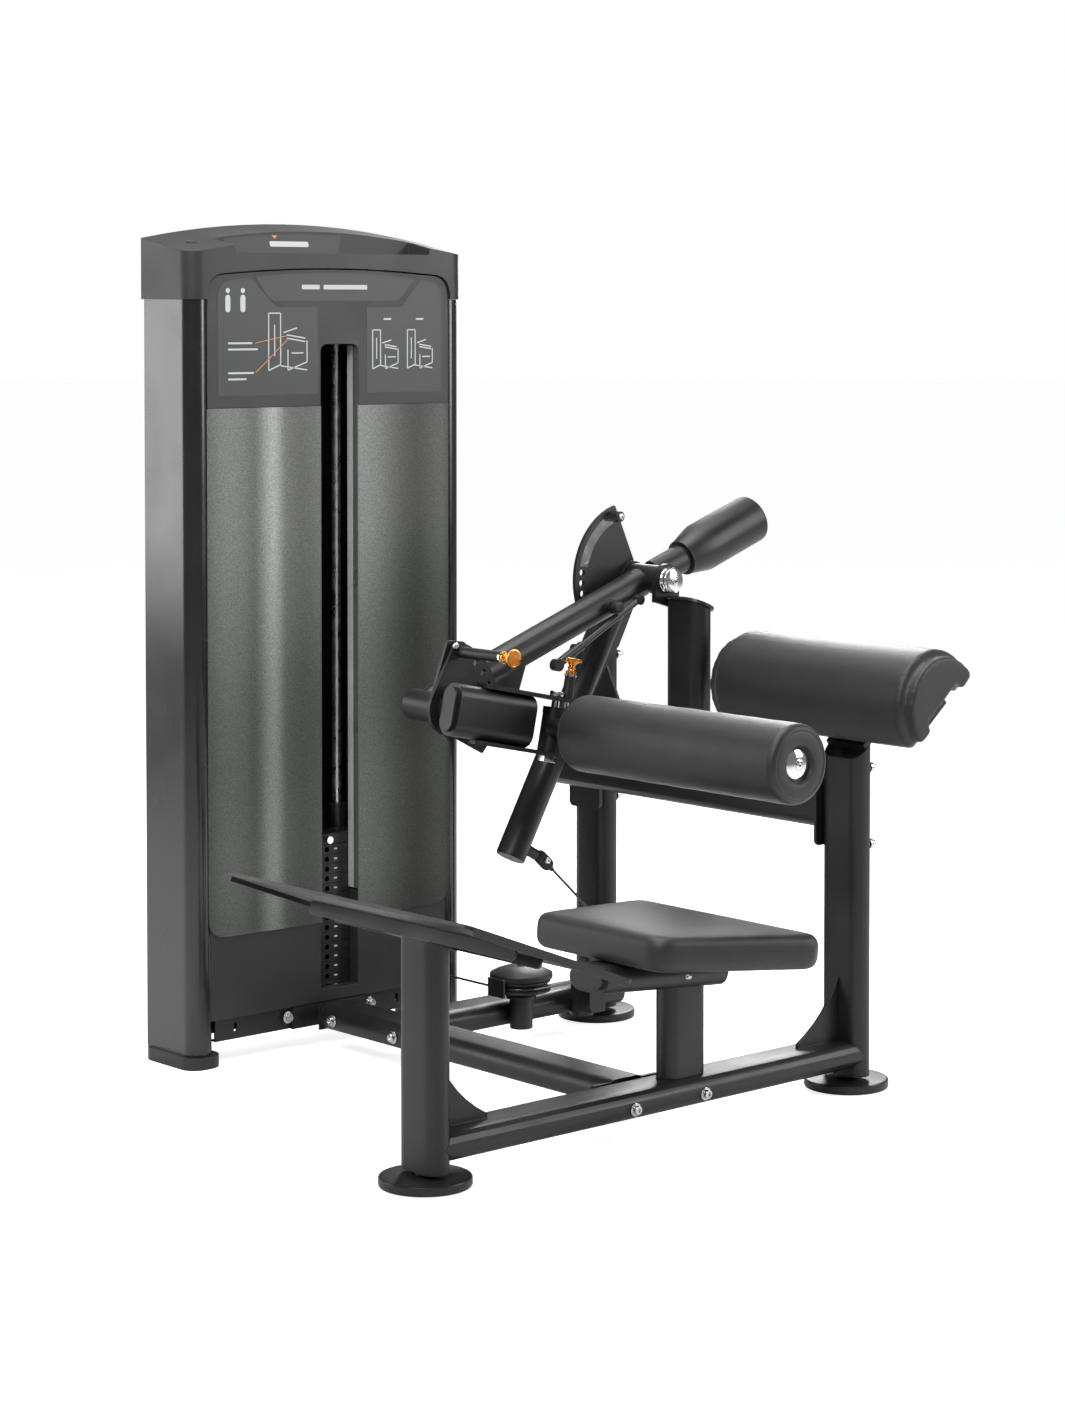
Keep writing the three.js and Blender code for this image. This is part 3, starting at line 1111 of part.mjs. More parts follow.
function carriage() {
  const tube = capsule(CARRIAGE.x0, CARRIAGE.x1);
  const boss = rod([0, CARRIAGE_Y + 20, 0], [0, 42, 0], 30, 20);
  const half = CARRIAGE.wide / 2;
  const ends = [[half - 1, half + CARRIAGE.plate, SWING_PIN_X + 22],
    [-half - CARRIAGE.plate, -half + 1, HINGE_REACH + 26]];
  const cheeks = ends.map(([z0, z1, reach]) => {
    const outline = rectOutline(38, reach, CARRIAGE_Y - 26, CARRIAGE_Y + 26, 20);
    return plateZ(outline, z0, z1, 4);
  });
  const barrel = rod([START_PIN_X, -78, START_PIN_RADIUS], [START_PIN_X, 41, START_PIN_RADIUS], 10.5, 16);
  const swingBarrel = rod([SWING_PIN_X, CARRIAGE_Y, half + 2],
    [SWING_PIN_X, CARRIAGE_Y, half + SWING_BARREL], 10.5, 16);
  const bores = [rod([HINGE_REACH, CARRIAGE_Y, -90], [HINGE_REACH, CARRIAGE_Y, 90], HINGE_RADIUS + GAP, 14),
    rod([START_PIN_X, -100, START_PIN_RADIUS], [START_PIN_X, 60, START_PIN_RADIUS], 5 + GAP, 12),
    rod([SWING_PIN_X, CARRIAGE_Y, 0], [SWING_PIN_X, CARRIAGE_Y, 140], 5 + GAP, 12),
    rod([0, CARRIAGE_Y + 8, 0], [0, 60, 0], CARRIAGE_SHAFT_RADIUS + GAP, 16)];
  piece("carriage", cut(join(tube, boss, teardrop(), ...cheeks, barrel, swingBarrel), ...bores),
    POWDER_COAT, hubGroup);
}

function carriageShaft() {
  const shaft = join(rod([0, CARRIAGE_Y + 9, 0], [0, 152, 0], CARRIAGE_SHAFT_RADIUS, 16),
    rod([0, 147 + GAP, 0], [0, 153, 0], 22, 18));
  piece("carriage_shaft", shaft, CHROME, hubGroup);
}

function hingeBolt() {
  const half = CARRIAGE.wide / 2 + CARRIAGE.plate;
  const x = HINGE_REACH;
  const y = CARRIAGE_Y;
  const shape = join(rod([x, y, -half - 12], [x, y, half + 10], HINGE_RADIUS, 14),
    rod([x, y, half + GAP], [x, y, half + 10], 14, 20), rod([x, y, -half - 12], [x, y, -half - GAP], 18, 6));
  piece("hinge_bolt", shape, CHROME, hubGroup);
}

const KNOB_PROFILE = [[0, 0], [9, 0], [9, 5], [7, 9], [7, 18], [17.5, 24], [17.5, 30], [0, 31]];

function pullKnob() {
  return turned(KNOB_PROFILE, 16);
}

function plungers() {
  const start = join(pullKnob().rotateX(Math.PI / 2).translate(START_PIN_X, -84, START_PIN_RADIUS),
    rod([START_PIN_X, -86, START_PIN_RADIUS], [START_PIN_X, SECTOR_Y - GAP, START_PIN_RADIUS], 5, 12));
  piece("start_pin", start, ORANGE, hubGroup);
  const base = CARRIAGE.wide / 2 + SWING_BARREL;
  const swing = join(pullKnob().translate(SWING_PIN_X, CARRIAGE_Y, base + 6),
    rod([SWING_PIN_X, CARRIAGE_Y, LUG_TOP + GAP], [SWING_PIN_X, CARRIAGE_Y, base + 8], 5, 12));
  piece("swing_pin", swing, ORANGE, hubGroup);
}

// ---------------------------------------------------------------- roller
const ROLLER_DROP = -4; // the roller's axis below the middle of its hinge barrel
const AXLE_TIP = ROLLER.inner - ROLLER.length;

function rollerBracket() {
  const x = HINGE_REACH;
  const y = CARRIAGE_Y;
  const top = CARRIAGE.wide / 2 - 1 - GAP;
  const barrel = rod([x, y, -top], [x, y, 26], 22, 20);
  const lug = plateZ(rectOutline(x - 22, x + 54, y - 22, y + 22, 20), 24, LUG_TOP, 4);
  const neck = rod([x, y - 8, ROLLER_DROP], [x, ROLLER.inner + GAP + 0.4, ROLLER_DROP], 22, 20);
  const axle = rod([x, y - 8, ROLLER_DROP], [x, AXLE_TIP + 12, ROLLER_DROP], 14, 16);
  const bores = [rod([x, y, -90], [x, y, 90], HINGE_RADIUS + GAP, 14),
    rod([SWING_PIN_X, y, 0], [SWING_PIN_X, y, 90], 5 + GAP, 12)];
  piece("roller_bracket", cut(join(barrel, lug, neck, axle), ...bores), POWDER_COAT, hubGroup);
}

function rollerPad() {
  const { radius, inner } = ROLLER;
  const edge = 12;
  const tip = AXLE_TIP;
  const bore = 14 + GAP;
  const recess = tip + 12 + GAP;
  const profile = [[bore, recess], [34, recess], [34, tip], [radius - edge, tip],
    [radius - edge / 3, tip + edge / 3],
    [radius, tip + edge], [radius, inner - edge], [radius - edge / 3, inner - edge / 3],
      [radius - edge, inner],
    [bore, inner], [bore, recess]];
  const pad = turned(profile.map(([r, y]) => [r, -y]).reverse(), 24);
  piece("roller_pad", pad.rotateX(Math.PI / 2).translate(HINGE_REACH, 0, ROLLER_DROP), VINYL, hubGroup);
}

function rollerCap() {
  const cap = turned([[0, 0], [30, 0], [30, 2], [22, 8], [10, 11.4], [0, 12]], 24);
  piece("roller_end_cap", cap.rotateX(Math.PI / 2).translate(HINGE_REACH, AXLE_TIP + 12 - GAP,
    ROLLER_DROP), CHROME, hubGroup);
}

machine.name = "hip_thrust_machine";

levellingFoot("foot_end_levelling_foot", FOOT_POST_X, POST_LINE_Y);
levellingFoot("pad_end_levelling_foot", PAD_POST_X, POST_LINE_Y);
levellingFoot("far_levelling_foot", FAR_POST.x, FAR_POST.y);
footEndPost();
footPlate();
mainRail();
spineTube();
rearRail();
padPost();
farPost();
pivotBeam();
pivotPost();
pivotShaft();
seat();
seatPost();
backPad();
pulleys();
pulleyCover();
cables();
towerColumn("left", TOWER.left);
towerColumn("right", TOWER.right - COLUMN_WIDE);
crossMember();
stackBase();
guideRods();
topMember();
towerCap();
instructionBoard();
window("left_window", BOARD.left, SLOT_LEFT, true);
window("right_window", SLOT_RIGHT, BOARD.right, false);
lowerCover();
rearCover();
restingPlates();
topPlate();
selectorPin();
driveLever();
cableClevis();
quadrant();
rollerArm();
counterweight();
armStrut();
rangePin();
carriage();
carriageShaft();
hingeBolt();
plungers();
rollerBracket();
rollerPad();
rollerCap();

// The origin is the middle of the machine's footprint, on the floor.
const bounds = new THREE.Box3().setFromObject(machine, true);
const middle = bounds.getCenter(new THREE.Vector3());
machine.position.set(-middle.x, -middle.y, -bounds.min.z);

export default machine;
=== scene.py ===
"""Looks for the hip thrust machine: materials, upholstery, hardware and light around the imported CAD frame."""

import json
import math

import bmesh
import bpy
from mathutils import Matrix, Vector


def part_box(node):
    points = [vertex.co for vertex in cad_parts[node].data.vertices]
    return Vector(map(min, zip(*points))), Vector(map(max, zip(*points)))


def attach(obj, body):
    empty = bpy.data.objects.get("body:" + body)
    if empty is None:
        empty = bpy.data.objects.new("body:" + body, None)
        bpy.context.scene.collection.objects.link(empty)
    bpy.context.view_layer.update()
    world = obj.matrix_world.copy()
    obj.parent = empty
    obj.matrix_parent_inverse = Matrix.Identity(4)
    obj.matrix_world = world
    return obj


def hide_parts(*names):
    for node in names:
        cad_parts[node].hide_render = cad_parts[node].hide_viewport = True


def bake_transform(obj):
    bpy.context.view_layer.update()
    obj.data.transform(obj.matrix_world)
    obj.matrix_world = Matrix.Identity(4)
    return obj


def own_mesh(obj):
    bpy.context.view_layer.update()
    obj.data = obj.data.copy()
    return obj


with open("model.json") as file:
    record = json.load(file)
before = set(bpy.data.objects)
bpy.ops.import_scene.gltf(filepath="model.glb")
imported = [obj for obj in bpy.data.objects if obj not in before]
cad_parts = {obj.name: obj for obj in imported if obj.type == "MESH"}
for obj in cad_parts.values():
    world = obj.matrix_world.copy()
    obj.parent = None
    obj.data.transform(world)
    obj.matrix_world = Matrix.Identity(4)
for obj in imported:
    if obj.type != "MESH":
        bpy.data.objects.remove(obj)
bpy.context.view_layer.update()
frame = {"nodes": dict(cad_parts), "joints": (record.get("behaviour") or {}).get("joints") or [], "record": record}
SCENE = bpy.context.scene
NODES = frame["nodes"]
MM = 0.001

# ---------------------------------------------------------------- design frame
# The machine's design coordinates are millimetres. The left guide rod stands at (-50, 588) in them.
ROD_LOW, ROD_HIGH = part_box("left_guide_rod")
ROD_CENTRE = (ROD_LOW + ROD_HIGH) / 2
ORIGIN = Vector((ROD_CENTRE.x + 50 * MM, ROD_CENTRE.y - 588 * MM, 0.0))

PIVOT = (488, 932)
ARM_LENGTH = 610
ARM_DROP = 20
CARRIAGE_PITCH = 12
CARRIAGE_Y = 6


def place(x, y, z):
    """A point of the design frame, in metres in the row frame."""
    return ORIGIN + Vector((x, y, z)) * MM


def turned_frame(x, z, pitch):
    """Matrix from a group's own millimetres to the row frame; a positive pitch drops the group's +X."""
    spin = Matrix.Rotation(math.radians(pitch), 4, "Y")
    return Matrix.Translation(place(x, 0, z)) @ spin @ Matrix.Scale(MM, 4)


WORLD = turned_frame(0, 0, 0)
HUB_X = PIVOT[0] - ARM_LENGTH * math.cos(math.radians(ARM_DROP))
HUB_Z = PIVOT[1] - ARM_LENGTH * math.sin(math.radians(ARM_DROP))
HUB = turned_frame(HUB_X, HUB_Z, CARRIAGE_PITCH)

# ---------------------------------------------------------------- camera, stage and light
CAMERA_PLACE = Vector((-3.9735, -4.490, 1.480))
CAMERA_HEADING = -41.5
CAMERA_PITCH = 2.2
CAMERA_LENS = 81.15
CAMERA_SHIFT = -0.19861
SENSOR_WIDTH = 36
FLOOR_RADIUS = 60.0
AMBIENT = 0.2


def make_camera():
    data = bpy.data.cameras.new("camera")
    data.lens = CAMERA_LENS
    data.sensor_width = SENSOR_WIDTH
    data.shift_y = CAMERA_SHIFT
    camera = bpy.data.objects.new("camera", data)
    camera.location = CAMERA_PLACE
    camera.rotation_euler = (math.radians(90 - CAMERA_PITCH), 0, math.radians(CAMERA_HEADING))
    SCENE.collection.objects.link(camera)
    SCENE.camera = camera


def area_light(name, location, target, size, power):
    data = bpy.data.lights.new(name, "AREA")
    data.shape = "RECTANGLE"
    data.size, data.size_y = size
    data.energy = power
    light = bpy.data.objects.new(name, data)
    light.location = location
    light.rotation_euler = (Vector(target) - Vector(location)).to_track_quat("-Z", "Y").to_euler()
    SCENE.collection.objects.link(light)


def make_lights():
    world = bpy.data.worlds.new("studio")
    world.use_nodes = True
    background = world.node_tree.nodes["Background"]
    links = world.node_tree.links
    sight = world.node_tree.nodes.new("ShaderNodeLightPath").outputs["Is Camera Ray"]
    strength = world.node_tree.nodes.new("ShaderNodeMapRange")
    strength.inputs["To Min"].default_value = AMBIENT
    strength.inputs["To Max"].default_value = 1.0
    links.new(sight, strength.inputs["Value"])
    links.new(strength.outputs["Result"], background.inputs["Strength"])
    background.inputs["Color"].default_value = (1.0, 1.0, 1.0, 1.0)
    SCENE.world = world
    SCENE.view_settings.view_transform = "Standard"
    area_light("left_light", (-2.9, 3.4, 1.7), (0, 0.2, 1.3), (1.8, 2.3), 50)
    area_light("key_light", (-3.0, -1.6, 3.6), (0, 0.1, 0.7), (1.4, 1.4), 110)
    area_light("front_light", (2.9, -3.0, 2.3), (0, 0.1, 0.9), (1.5, 2.6), 85)
    area_light("rim_light", (3.2, 2.6, 2.6), (0.1, 0.1, 0.6), (1.2, 2.4), 90)
    area_light("top_light", (0.0, 0.4, 4.0), (0, 0, 0), (2.6, 2.6), 120)


def make_stage(material):
    turn = math.tau / 64
    rim = [(FLOOR_RADIUS * math.cos(turn * i), FLOOR_RADIUS * math.sin(turn * i), -0.0005) for i in range(64)]
    floor = mesh_piece("floor", rim, [list(range(64))], material)


# ---------------------------------------------------------------- materials
def node_material(name):
    material = bpy.data.materials.new(name)
    material.use_nodes = True
    tree = material.node_tree
    return material, tree, tree.nodes["Principled BSDF"]


def object_coordinates(tree):
    return tree.nodes.new("ShaderNodeTexCoord").outputs["Object"]


def noise(tree, coordinates, scale, detail=2.0, rough=0.5):
    node = tree.nodes.new("ShaderNodeTexNoise")
    node.inputs["Scale"].default_value = scale
    node.inputs["Detail"].default_value = detail
    node.inputs["Roughness"].default_value = rough
    tree.links.new(coordinates, node.inputs["Vector"])
    return node.outputs["Fac"]


def span(tree, value, low, high, source=(0.3, 0.7)):
    node = tree.nodes.new("ShaderNodeMapRange")
    node.inputs["From Min"].default_value, node.inputs["From Max"].default_value = source
    node.inputs["To Min"].default_value = low
    node.inputs["To Max"].default_value = high
    tree.links.new(value, node.inputs["Value"])
    return node.outputs["Result"]


def tint(tree, value, dark, light, source=(0.3, 0.7)):
    ramp = tree.nodes.new("ShaderNodeValToRGB")
    ramp.color_ramp.elements[0].position, ramp.color_ramp.elements[1].position = source
    ramp.color_ramp.elements[0].color = (*dark, 1)
    ramp.color_ramp.elements[1].color = (*light, 1)
    tree.links.new(value, ramp.inputs["Fac"])
    return ramp.outputs["Color"]


def bump(tree, height, strength, distance, normal=None):
    node = tree.nodes.new("ShaderNodeBump")
    node.inputs["Strength"].default_value = strength
    node.inputs["Distance"].default_value = distance
    tree.links.new(height, node.inputs["Height"])
    if normal is not None:
        tree.links.new(normal, node.inputs["Normal"])
    return node.outputs["Normal"]


def multiply(tree, first, second):
    mix = tree.nodes.new("ShaderNodeMix")
    mix.data_type = "RGBA"
    mix.blend_type = "MULTIPLY"
    mix.inputs["Factor"].default_value = 1.0
    tree.links.new(first, mix.inputs["A"])
    tree.links.new(second, mix.inputs["B"])
    return mix.outputs["Result"]


def grey(value):
    return (value, value * 1.01, value * 1.03)


def coated(name, shade, roughness, grain_scale, grain, metallic=0.0, spread=0.12, coat=0.0):
    """Paint or moulded plastic: a fine surface grain, slow shade and gloss changes and brighter edges, a painted
    highlight blended in along convex edges.
    """
    material, tree, shader = node_material(name)
    where = object_coordinates(tree)
    cloud = noise(tree, where, 9, 4.0)
    fine = noise(tree, where, grain_scale, 3.0, 0.6)
    dark = grey(shade * (1 - spread))
    light = grey(shade * (1 + spread))
    speckle = tint(tree, fine, (0.72,) * 3, (1.25,) * 3, (0.35, 0.65))
    paint = multiply(tree, tint(tree, cloud, dark, light), speckle)
    # Painted highlight: convex edges, found by pointiness, are blended toward a lighter grey.
    edge = tree.nodes.new("ShaderNodeNewGeometry").outputs["Pointiness"]
    painted_edge_highlight = tree.nodes.new("ShaderNodeMix")
    painted_edge_highlight.data_type = "RGBA"
    tree.links.new(span(tree, edge, 0.0, 0.22, (0.53, 0.6)), painted_edge_highlight.inputs["Factor"])
    tree.links.new(paint, painted_edge_highlight.inputs["A"])
    painted_edge_highlight.inputs["B"].default_value = (*grey(min(1.0, shade * 3.2)), 1)
    tree.links.new(painted_edge_highlight.outputs["Result"], shader.inputs["Base Color"])
    tree.links.new(span(tree, cloud, roughness - 0.05, roughness + 0.06), shader.inputs["Roughness"])
    tree.links.new(bump(tree, fine, grain, 0.0004), shader.inputs["Normal"])
    shader.inputs["Metallic"].default_value = metallic
    shader.inputs["Coat Weight"].default_value = coat
    shader.inputs["Coat Roughness"].default_value = 0.2
    return material


def polished(name, colour, roughness, brushed=0.0):
    """Bright metal with faint turning marks and handling smudges."""
    material, tree, shader = node_material(name)
    where = object_coordinates(tree)
    smudge = noise(tree, where, 40, 4.0)
    lines = noise(tree, where, 1500, 2.0)
    low = tuple(c * 0.86 for c in colour)
    tree.links.new(tint(tree, smudge, low, colour), shader.inputs["Base Color"])
    tree.links.new(span(tree, smudge, roughness * 0.7, roughness * 1.5), shader.inputs["Roughness"])
    tree.links.new(bump(tree, lines, 0.03 + brushed, 0.0002), shader.inputs["Normal"])
    shader.inputs["Metallic"].default_value = 1.0
    return material


def upholstery(name, shade, roughness):
    """Grained vinyl: small rounded cells broken by creases, over soft wrinkles, with a light sheen."""
    material, tree, shader = node_material(name)
    where = object_coordinates(tree)
    cells = tree.nodes.new("ShaderNodeTexVoronoi")
    cells.feature = "DISTANCE_TO_EDGE"
    cells.inputs["Scale"].default_value = 620
    tree.links.new(where, cells.inputs["Vector"])
    pebble = span(tree, cells.outputs["Distance"], 0.0, 1.0, (0.0, 0.28))
    cloud = noise(tree, where, 14, 5.0)
    dust = noise(tree, where, 900, 2.0)
    crease = noise(tree, where, 55, 3.0, 0.55)
    tree.links.new(tint(tree, cloud, grey(shade * 0.86), grey(shade * 1.18)), shader.inputs["Base Color"])
    tree.links.new(span(tree, dust, roughness - 0.06, roughness + 0.08), shader.inputs["Roughness"])
    soft = bump(tree, crease, 0.12, 0.002)
    tree.links.new(bump(tree, pebble, 0.32, 0.00035, soft), shader.inputs["Normal"])
    shader.inputs["Sheen Weight"].default_value = 0.08
    shader.inputs["Sheen Roughness"].default_value = 0.5
    return material


def bands(tree, value, start, end, shades):
    """Grey that follows (share, shade) stops between two places along an axis."""
    ramp = tree.nodes.new("ShaderNodeValToRGB")
    ramp.color_ramp.interpolation = "B_SPLINE"
    stops = ramp.color_ramp.elements
    while len(stops) < len(shades):
        stops.new(0.5)
    for stop, (share, shade) in zip(stops, shades):
        stop.position = share
        stop.color = (shade * 0.98, shade, shade * 0.965, 1)
    tree.links.new(span(tree, value, 0.0, 1.0, (start, end)), ramp.inputs["Fac"])
    return ramp.outputs["Color"]


# Painted light in the sheet's colour, standing in for light behind it: brighter beside the guide rods, dim near
# the columns and the stack.
PAINTED_LIGHT_ACROSS = (-0.36, 0.25, [(0.0, 0.16), (0.06, 0.3), (0.15, 0.26), (0.2, 0.12), (0.26, 0.72), (0.31, 0.13),
                             (0.45, 0.2), (0.62, 0.42), (0.74, 0.2), (0.86, 0.05), (0.96, 0.2), (1.0, 0.08)])
PAINTED_LIGHT_UPWARD = (0.25, 1.28, [(0.0, 0.5), (0.12, 0.75), (0.3, 0.62), (0.5, 0.66), (0.72, 1.0), (1.0, 1.15)])


def frosted(name):
    """Smoky sheet with a sandblasted face: speckled painted light bands in its diffuse colour and some scattered
    see-through light.
    """
    material, tree, shader = node_material(name)
    where = object_coordinates(tree)
    speck = noise(tree, where, 420, 2.0, 0.75)
    cloud = noise(tree, where, 3, 3.0)
    axes = tree.nodes.new("ShaderNodeSeparateXYZ")
    tree.links.new(where, axes.inputs["Vector"])
    across = bands(tree, axes.outputs["X"], *PAINTED_LIGHT_ACROSS)
    upward = bands(tree, axes.outputs["Z"], *PAINTED_LIGHT_UPWARD)
    # Painted light: fixed bright and dim bands across and up the sheet, multiplied into its colour.
    painted_light = multiply(tree, across, upward)
    grain = tint(tree, speck, (0.62, 0.63, 0.62), (1.38, 1.4, 1.38), (0.35, 0.65))
    tree.links.new(multiply(tree, painted_light, grain), shader.inputs["Base Color"])
    tree.links.new(span(tree, cloud, 0.36, 0.46), shader.inputs["Roughness"])
    tree.links.new(bump(tree, speck, 0.25, 0.0004), shader.inputs["Normal"])
    shader.inputs["Transmission Weight"].default_value = 0.3
    shader.inputs["IOR"].default_value = 1.3
    return material


def studio_floor(name):
    """Pale floor that the eye sees evenly lit, while the object gets only its plain bounce."""
    material, tree, shader = node_material(name)
    where = object_coordinates(tree)
    cloud = noise(tree, where, 2, 3.0)
    tree.links.new(tint(tree, cloud, (0.88, 0.88, 0.88), (0.9, 0.9, 0.9)), shader.inputs["Base Color"])
    shader.inputs["Roughness"].default_value = 0.7
    shader.inputs["Emission Color"].default_value = (1, 1, 1, 1)
    sight = tree.nodes.new("ShaderNodeLightPath").outputs["Is Camera Ray"]
    tree.links.new(span(tree, sight, 0.0, 0.8, (0, 1)), shader.inputs["Emission Strength"])
    return material


def printed(name, colour, roughness):
    """Ink: a flat print with a faint screen texture."""
    material, tree, shader = node_material(name)
    where = object_coordinates(tree)
    speck = noise(tree, where, 1200, 2.0)
    low = tuple(c * 0.88 for c in colour)
    tree.links.new(tint(tree, speck, low, colour), shader.inputs["Base Color"])
    tree.links.new(span(tree, speck, roughness, roughness + 0.12), shader.inputs["Roughness"])
    return material


POWDER = coated("powder_coat", 0.0105, 0.4, 1100, 0.22)
STEEL = coated("dark_steel", 0.03, 0.34, 700, 0.1, metallic=0.4)
MOULDED = coated("moulded_plastic", 0.024, 0.44, 1500, 0.3)
COLUMN = coated("column_enamel", 0.0075, 0.24, 600, 0.05, coat=0.5)
NYLON = coated("pulley_plastic", 0.016, 0.4, 900, 0.12)
RUBBER = coated("black_rubber", 0.014, 0.62, 500, 0.3)
JACKET = coated("cable_jacket", 0.01, 0.3, 600, 0.12, coat=0.3)
TRIM = coated("slot_trim", 0.42, 0.3, 800, 0.08)
SMOKED_EDGE = coated("slot_edge", 0.09, 0.3, 800, 0.08)
ROD = polished("guide_rod_steel", (0.9, 0.91, 0.92), 0.3)
CHROME = polished("chrome", (0.86, 0.87, 0.88), 0.1)
ZINC = polished("zinc_bolt", (0.7, 0.7, 0.69), 0.22, 0.05)
ORANGE = polished("orange_anodised", (0.9, 0.36, 0.07), 0.24, 0.03)
VINYL = upholstery("vinyl", 0.013, 0.42)
SMOKED = frosted("smoked_panel")
PANEL_PRINT = printed("panel_print", (0.04, 0.043, 0.041), 0.36)
PALE_PRINT = printed("pale_print", (0.62, 0.63, 0.64), 0.5)
AMBER_PRINT = printed("amber_print", (0.75, 0.3, 0.06), 0.5)
DISC_WHITE = printed("plate_marks", (0.75, 0.75, 0.75), 0.45)
FLOOR_PAINT = studio_floor("floor_paint")

SLOT_LOOKS = {
    "powder_coat": POWDER, "dark_steel": STEEL, "chrome": CHROME, "orange_anodised": ORANGE,
    "vinyl": VINYL, "moulded_plastic": MOULDED, "smoked_panel": SMOKED, "pulley_plastic": NYLON,
    "cable_jacket": JACKET, "black_rubber": RUBBER,
}

NODE_LOOKS = {"left_column": COLUMN, "right_column": COLUMN, "left_guide_rod": ROD, "right_guide_rod": ROD}

# ---------------------------------------------------------------- mesh helpers
EDGE_ANGLE = math.radians(38)
WELD_DISTANCE = 0.00002


def mesh_piece(name, vertices, faces, material):
    mesh = bpy.data.meshes.new(name)
    mesh.from_pydata([tuple(v) for v in vertices], [], faces)
    mesh.materials.append(material)
    obj = bpy.data.objects.new(name, mesh)
    SCENE.collection.objects.link(obj)
    return obj


def smooth(obj):
    for polygon in obj.data.polygons:
        polygon.use_smooth = True
    return obj


def soften(obj, width):
    """Rounded edges with flat faces that stay flat."""
    smooth(obj)
    edge = obj.modifiers.new("edge", "BEVEL")
    edge.width = width
    edge.segments = 2
    edge.limit_method = "ANGLE"
    edge.angle_limit = EDGE_ANGLE
    edge.harden_normals = False
    level = obj.modifiers.new("level", "WEIGHTED_NORMAL")
    level.keep_sharp = True
    return obj


def outward(obj):
    shape = bmesh.new()
    shape.from_mesh(obj.data)
    bmesh.ops.remove_doubles(shape, verts=shape.verts, dist=1e-7)
    bmesh.ops.recalc_face_normals(shape, faces=shape.faces)
    shape.to_mesh(obj.data)
    shape.free()
    return obj


def fitted(obj, matrix, body, width=0.0):
    """Puts a piece made in millimetres into the row frame, on its body."""
    obj.data.transform(matrix)
    outward(obj)
    if width:
        soften(obj, width * MM)
    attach(obj, body)
    return obj


def turn_to(axis):
    """The rotation that takes +Z to axis."""
    return Vector(axis).to_track_quat("Z", "Y").to_matrix().to_4x4()


def axis_frame(matrix, centre, axis):
    """A matrix whose +Z runs along axis through centre, both in the millimetres of matrix."""
    return matrix @ Matrix.Translation(Vector(centre)) @ turn_to(axis)


def millimetres_at(centre, axis):
    """A matrix from a piece's own millimetres, +Z along axis, to a centre given in the row frame's metres."""
    return Matrix.Translation(centre) @ turn_to(axis) @ Matrix.Scale(MM, 4)


def ring_points(radius, height, count):
    turn = math.tau / count
    return [(radius * math.cos(turn * i), radius * math.sin(turn * i), height) for i in range(count)]


def lathe(name, profile, material, count=40):
    """Turns (radius, height) points about Z. Ends that lie off the axis are closed with a flat disc."""
    vertices = []
    for radius, height in profile:
        vertices += ring_points(max(radius, 0.001), height, count)
    faces = []
    for level in range(len(profile) - 1):
        base = level * count
        for i in range(count):
            j = (i + 1) % count
            faces.append([base + i, base + j, base + count + j, base + count + i])
    faces.append(list(range(count))[::-1])
    last = (len(profile) - 1) * count
    faces.append([last + i for i in range(count)])
    return mesh_piece(name, vertices, faces, material)


def slab(name, outline, low, high, material):
    """Extrudes an (x, y) outline from z = low to z = high."""
    count = len(outline)
    vertices = [(x, y, low) for x, y in outline] + [(x, y, high) for x, y in outline]
    faces = [[i, (i + 1) % count, count + (i + 1) % count, count + i] for i in range(count)]
    faces += [list(range(count))[::-1], [count + i for i in range(count)]]
    return mesh_piece(name, vertices, faces, material)


def arc(x, y, radius, start, end, steps=8):
    """Points of an arc, its angles in degrees."""
    angles = [math.radians(start + (end - start) * i / steps) for i in range(steps + 1)]
    return [(x + radius * math.cos(a), y + radius * math.sin(a)) for a in angles]


def rounded(x0, x1, y0, y1, radius):
    """A rectangle with round corners."""
    left, right, low, high = x0 + radius, x1 - radius, y0 + radius, y1 - radius
    points = arc(right, low, radius, -90, 0) + arc(right, high, radius, 0, 90)
    return points + arc(left, high, radius, 90, 180) + arc(left, low, radius, 180, 270)


def merged(name, pieces):
    """Joins pieces into one object; materials are kept."""
    shape = bmesh.new()
    materials = []
    for piece in pieces:
        start = len(shape.faces)
        shape.from_mesh(piece.data)
        shape.faces.ensure_lookup_table()
        if piece.data.materials[0] not in materials:
            materials.append(piece.data.materials[0])
        index = materials.index(piece.data.materials[0])
        for face in shape.faces[start:]:
            face.material_index = index
        bpy.data.objects.remove(piece)
    mesh = bpy.data.meshes.new(name)
    shape.to_mesh(mesh)
    shape.free()
    for material in materials:
        mesh.materials.append(material)
    obj = bpy.data.objects.new(name, mesh)
    SCENE.collection.objects.link(obj)
    return obj


# ---------------------------------------------------------------- carried-over CAD nodes
FINE_EDGES = {"fixed_cable", "left_guide_rod", "right_guide_rod", "selector_pin"}


def finish_nodes():
    """Every CAD node keeps its shape and gets rounded edges, smooth shading and its slot's material."""
    slots = {part["node"]: part["material_slot"] for part in frame["record"]["subparts"]}
    for name, obj in NODES.items():
        mesh = obj.data
        mesh.materials.clear()
        mesh.materials.append(NODE_LOOKS.get(name, SLOT_LOOKS[slots[name]]))
        custom = mesh.attributes.get("custom_normal")
        if custom is not None:
            mesh.attributes.remove(custom)
        weld = obj.modifiers.new("weld", "WELD")
        weld.merge_threshold = WELD_DISTANCE
        soften(obj, 0.4 * MM if name in FINE_EDGES else 1.3 * MM)


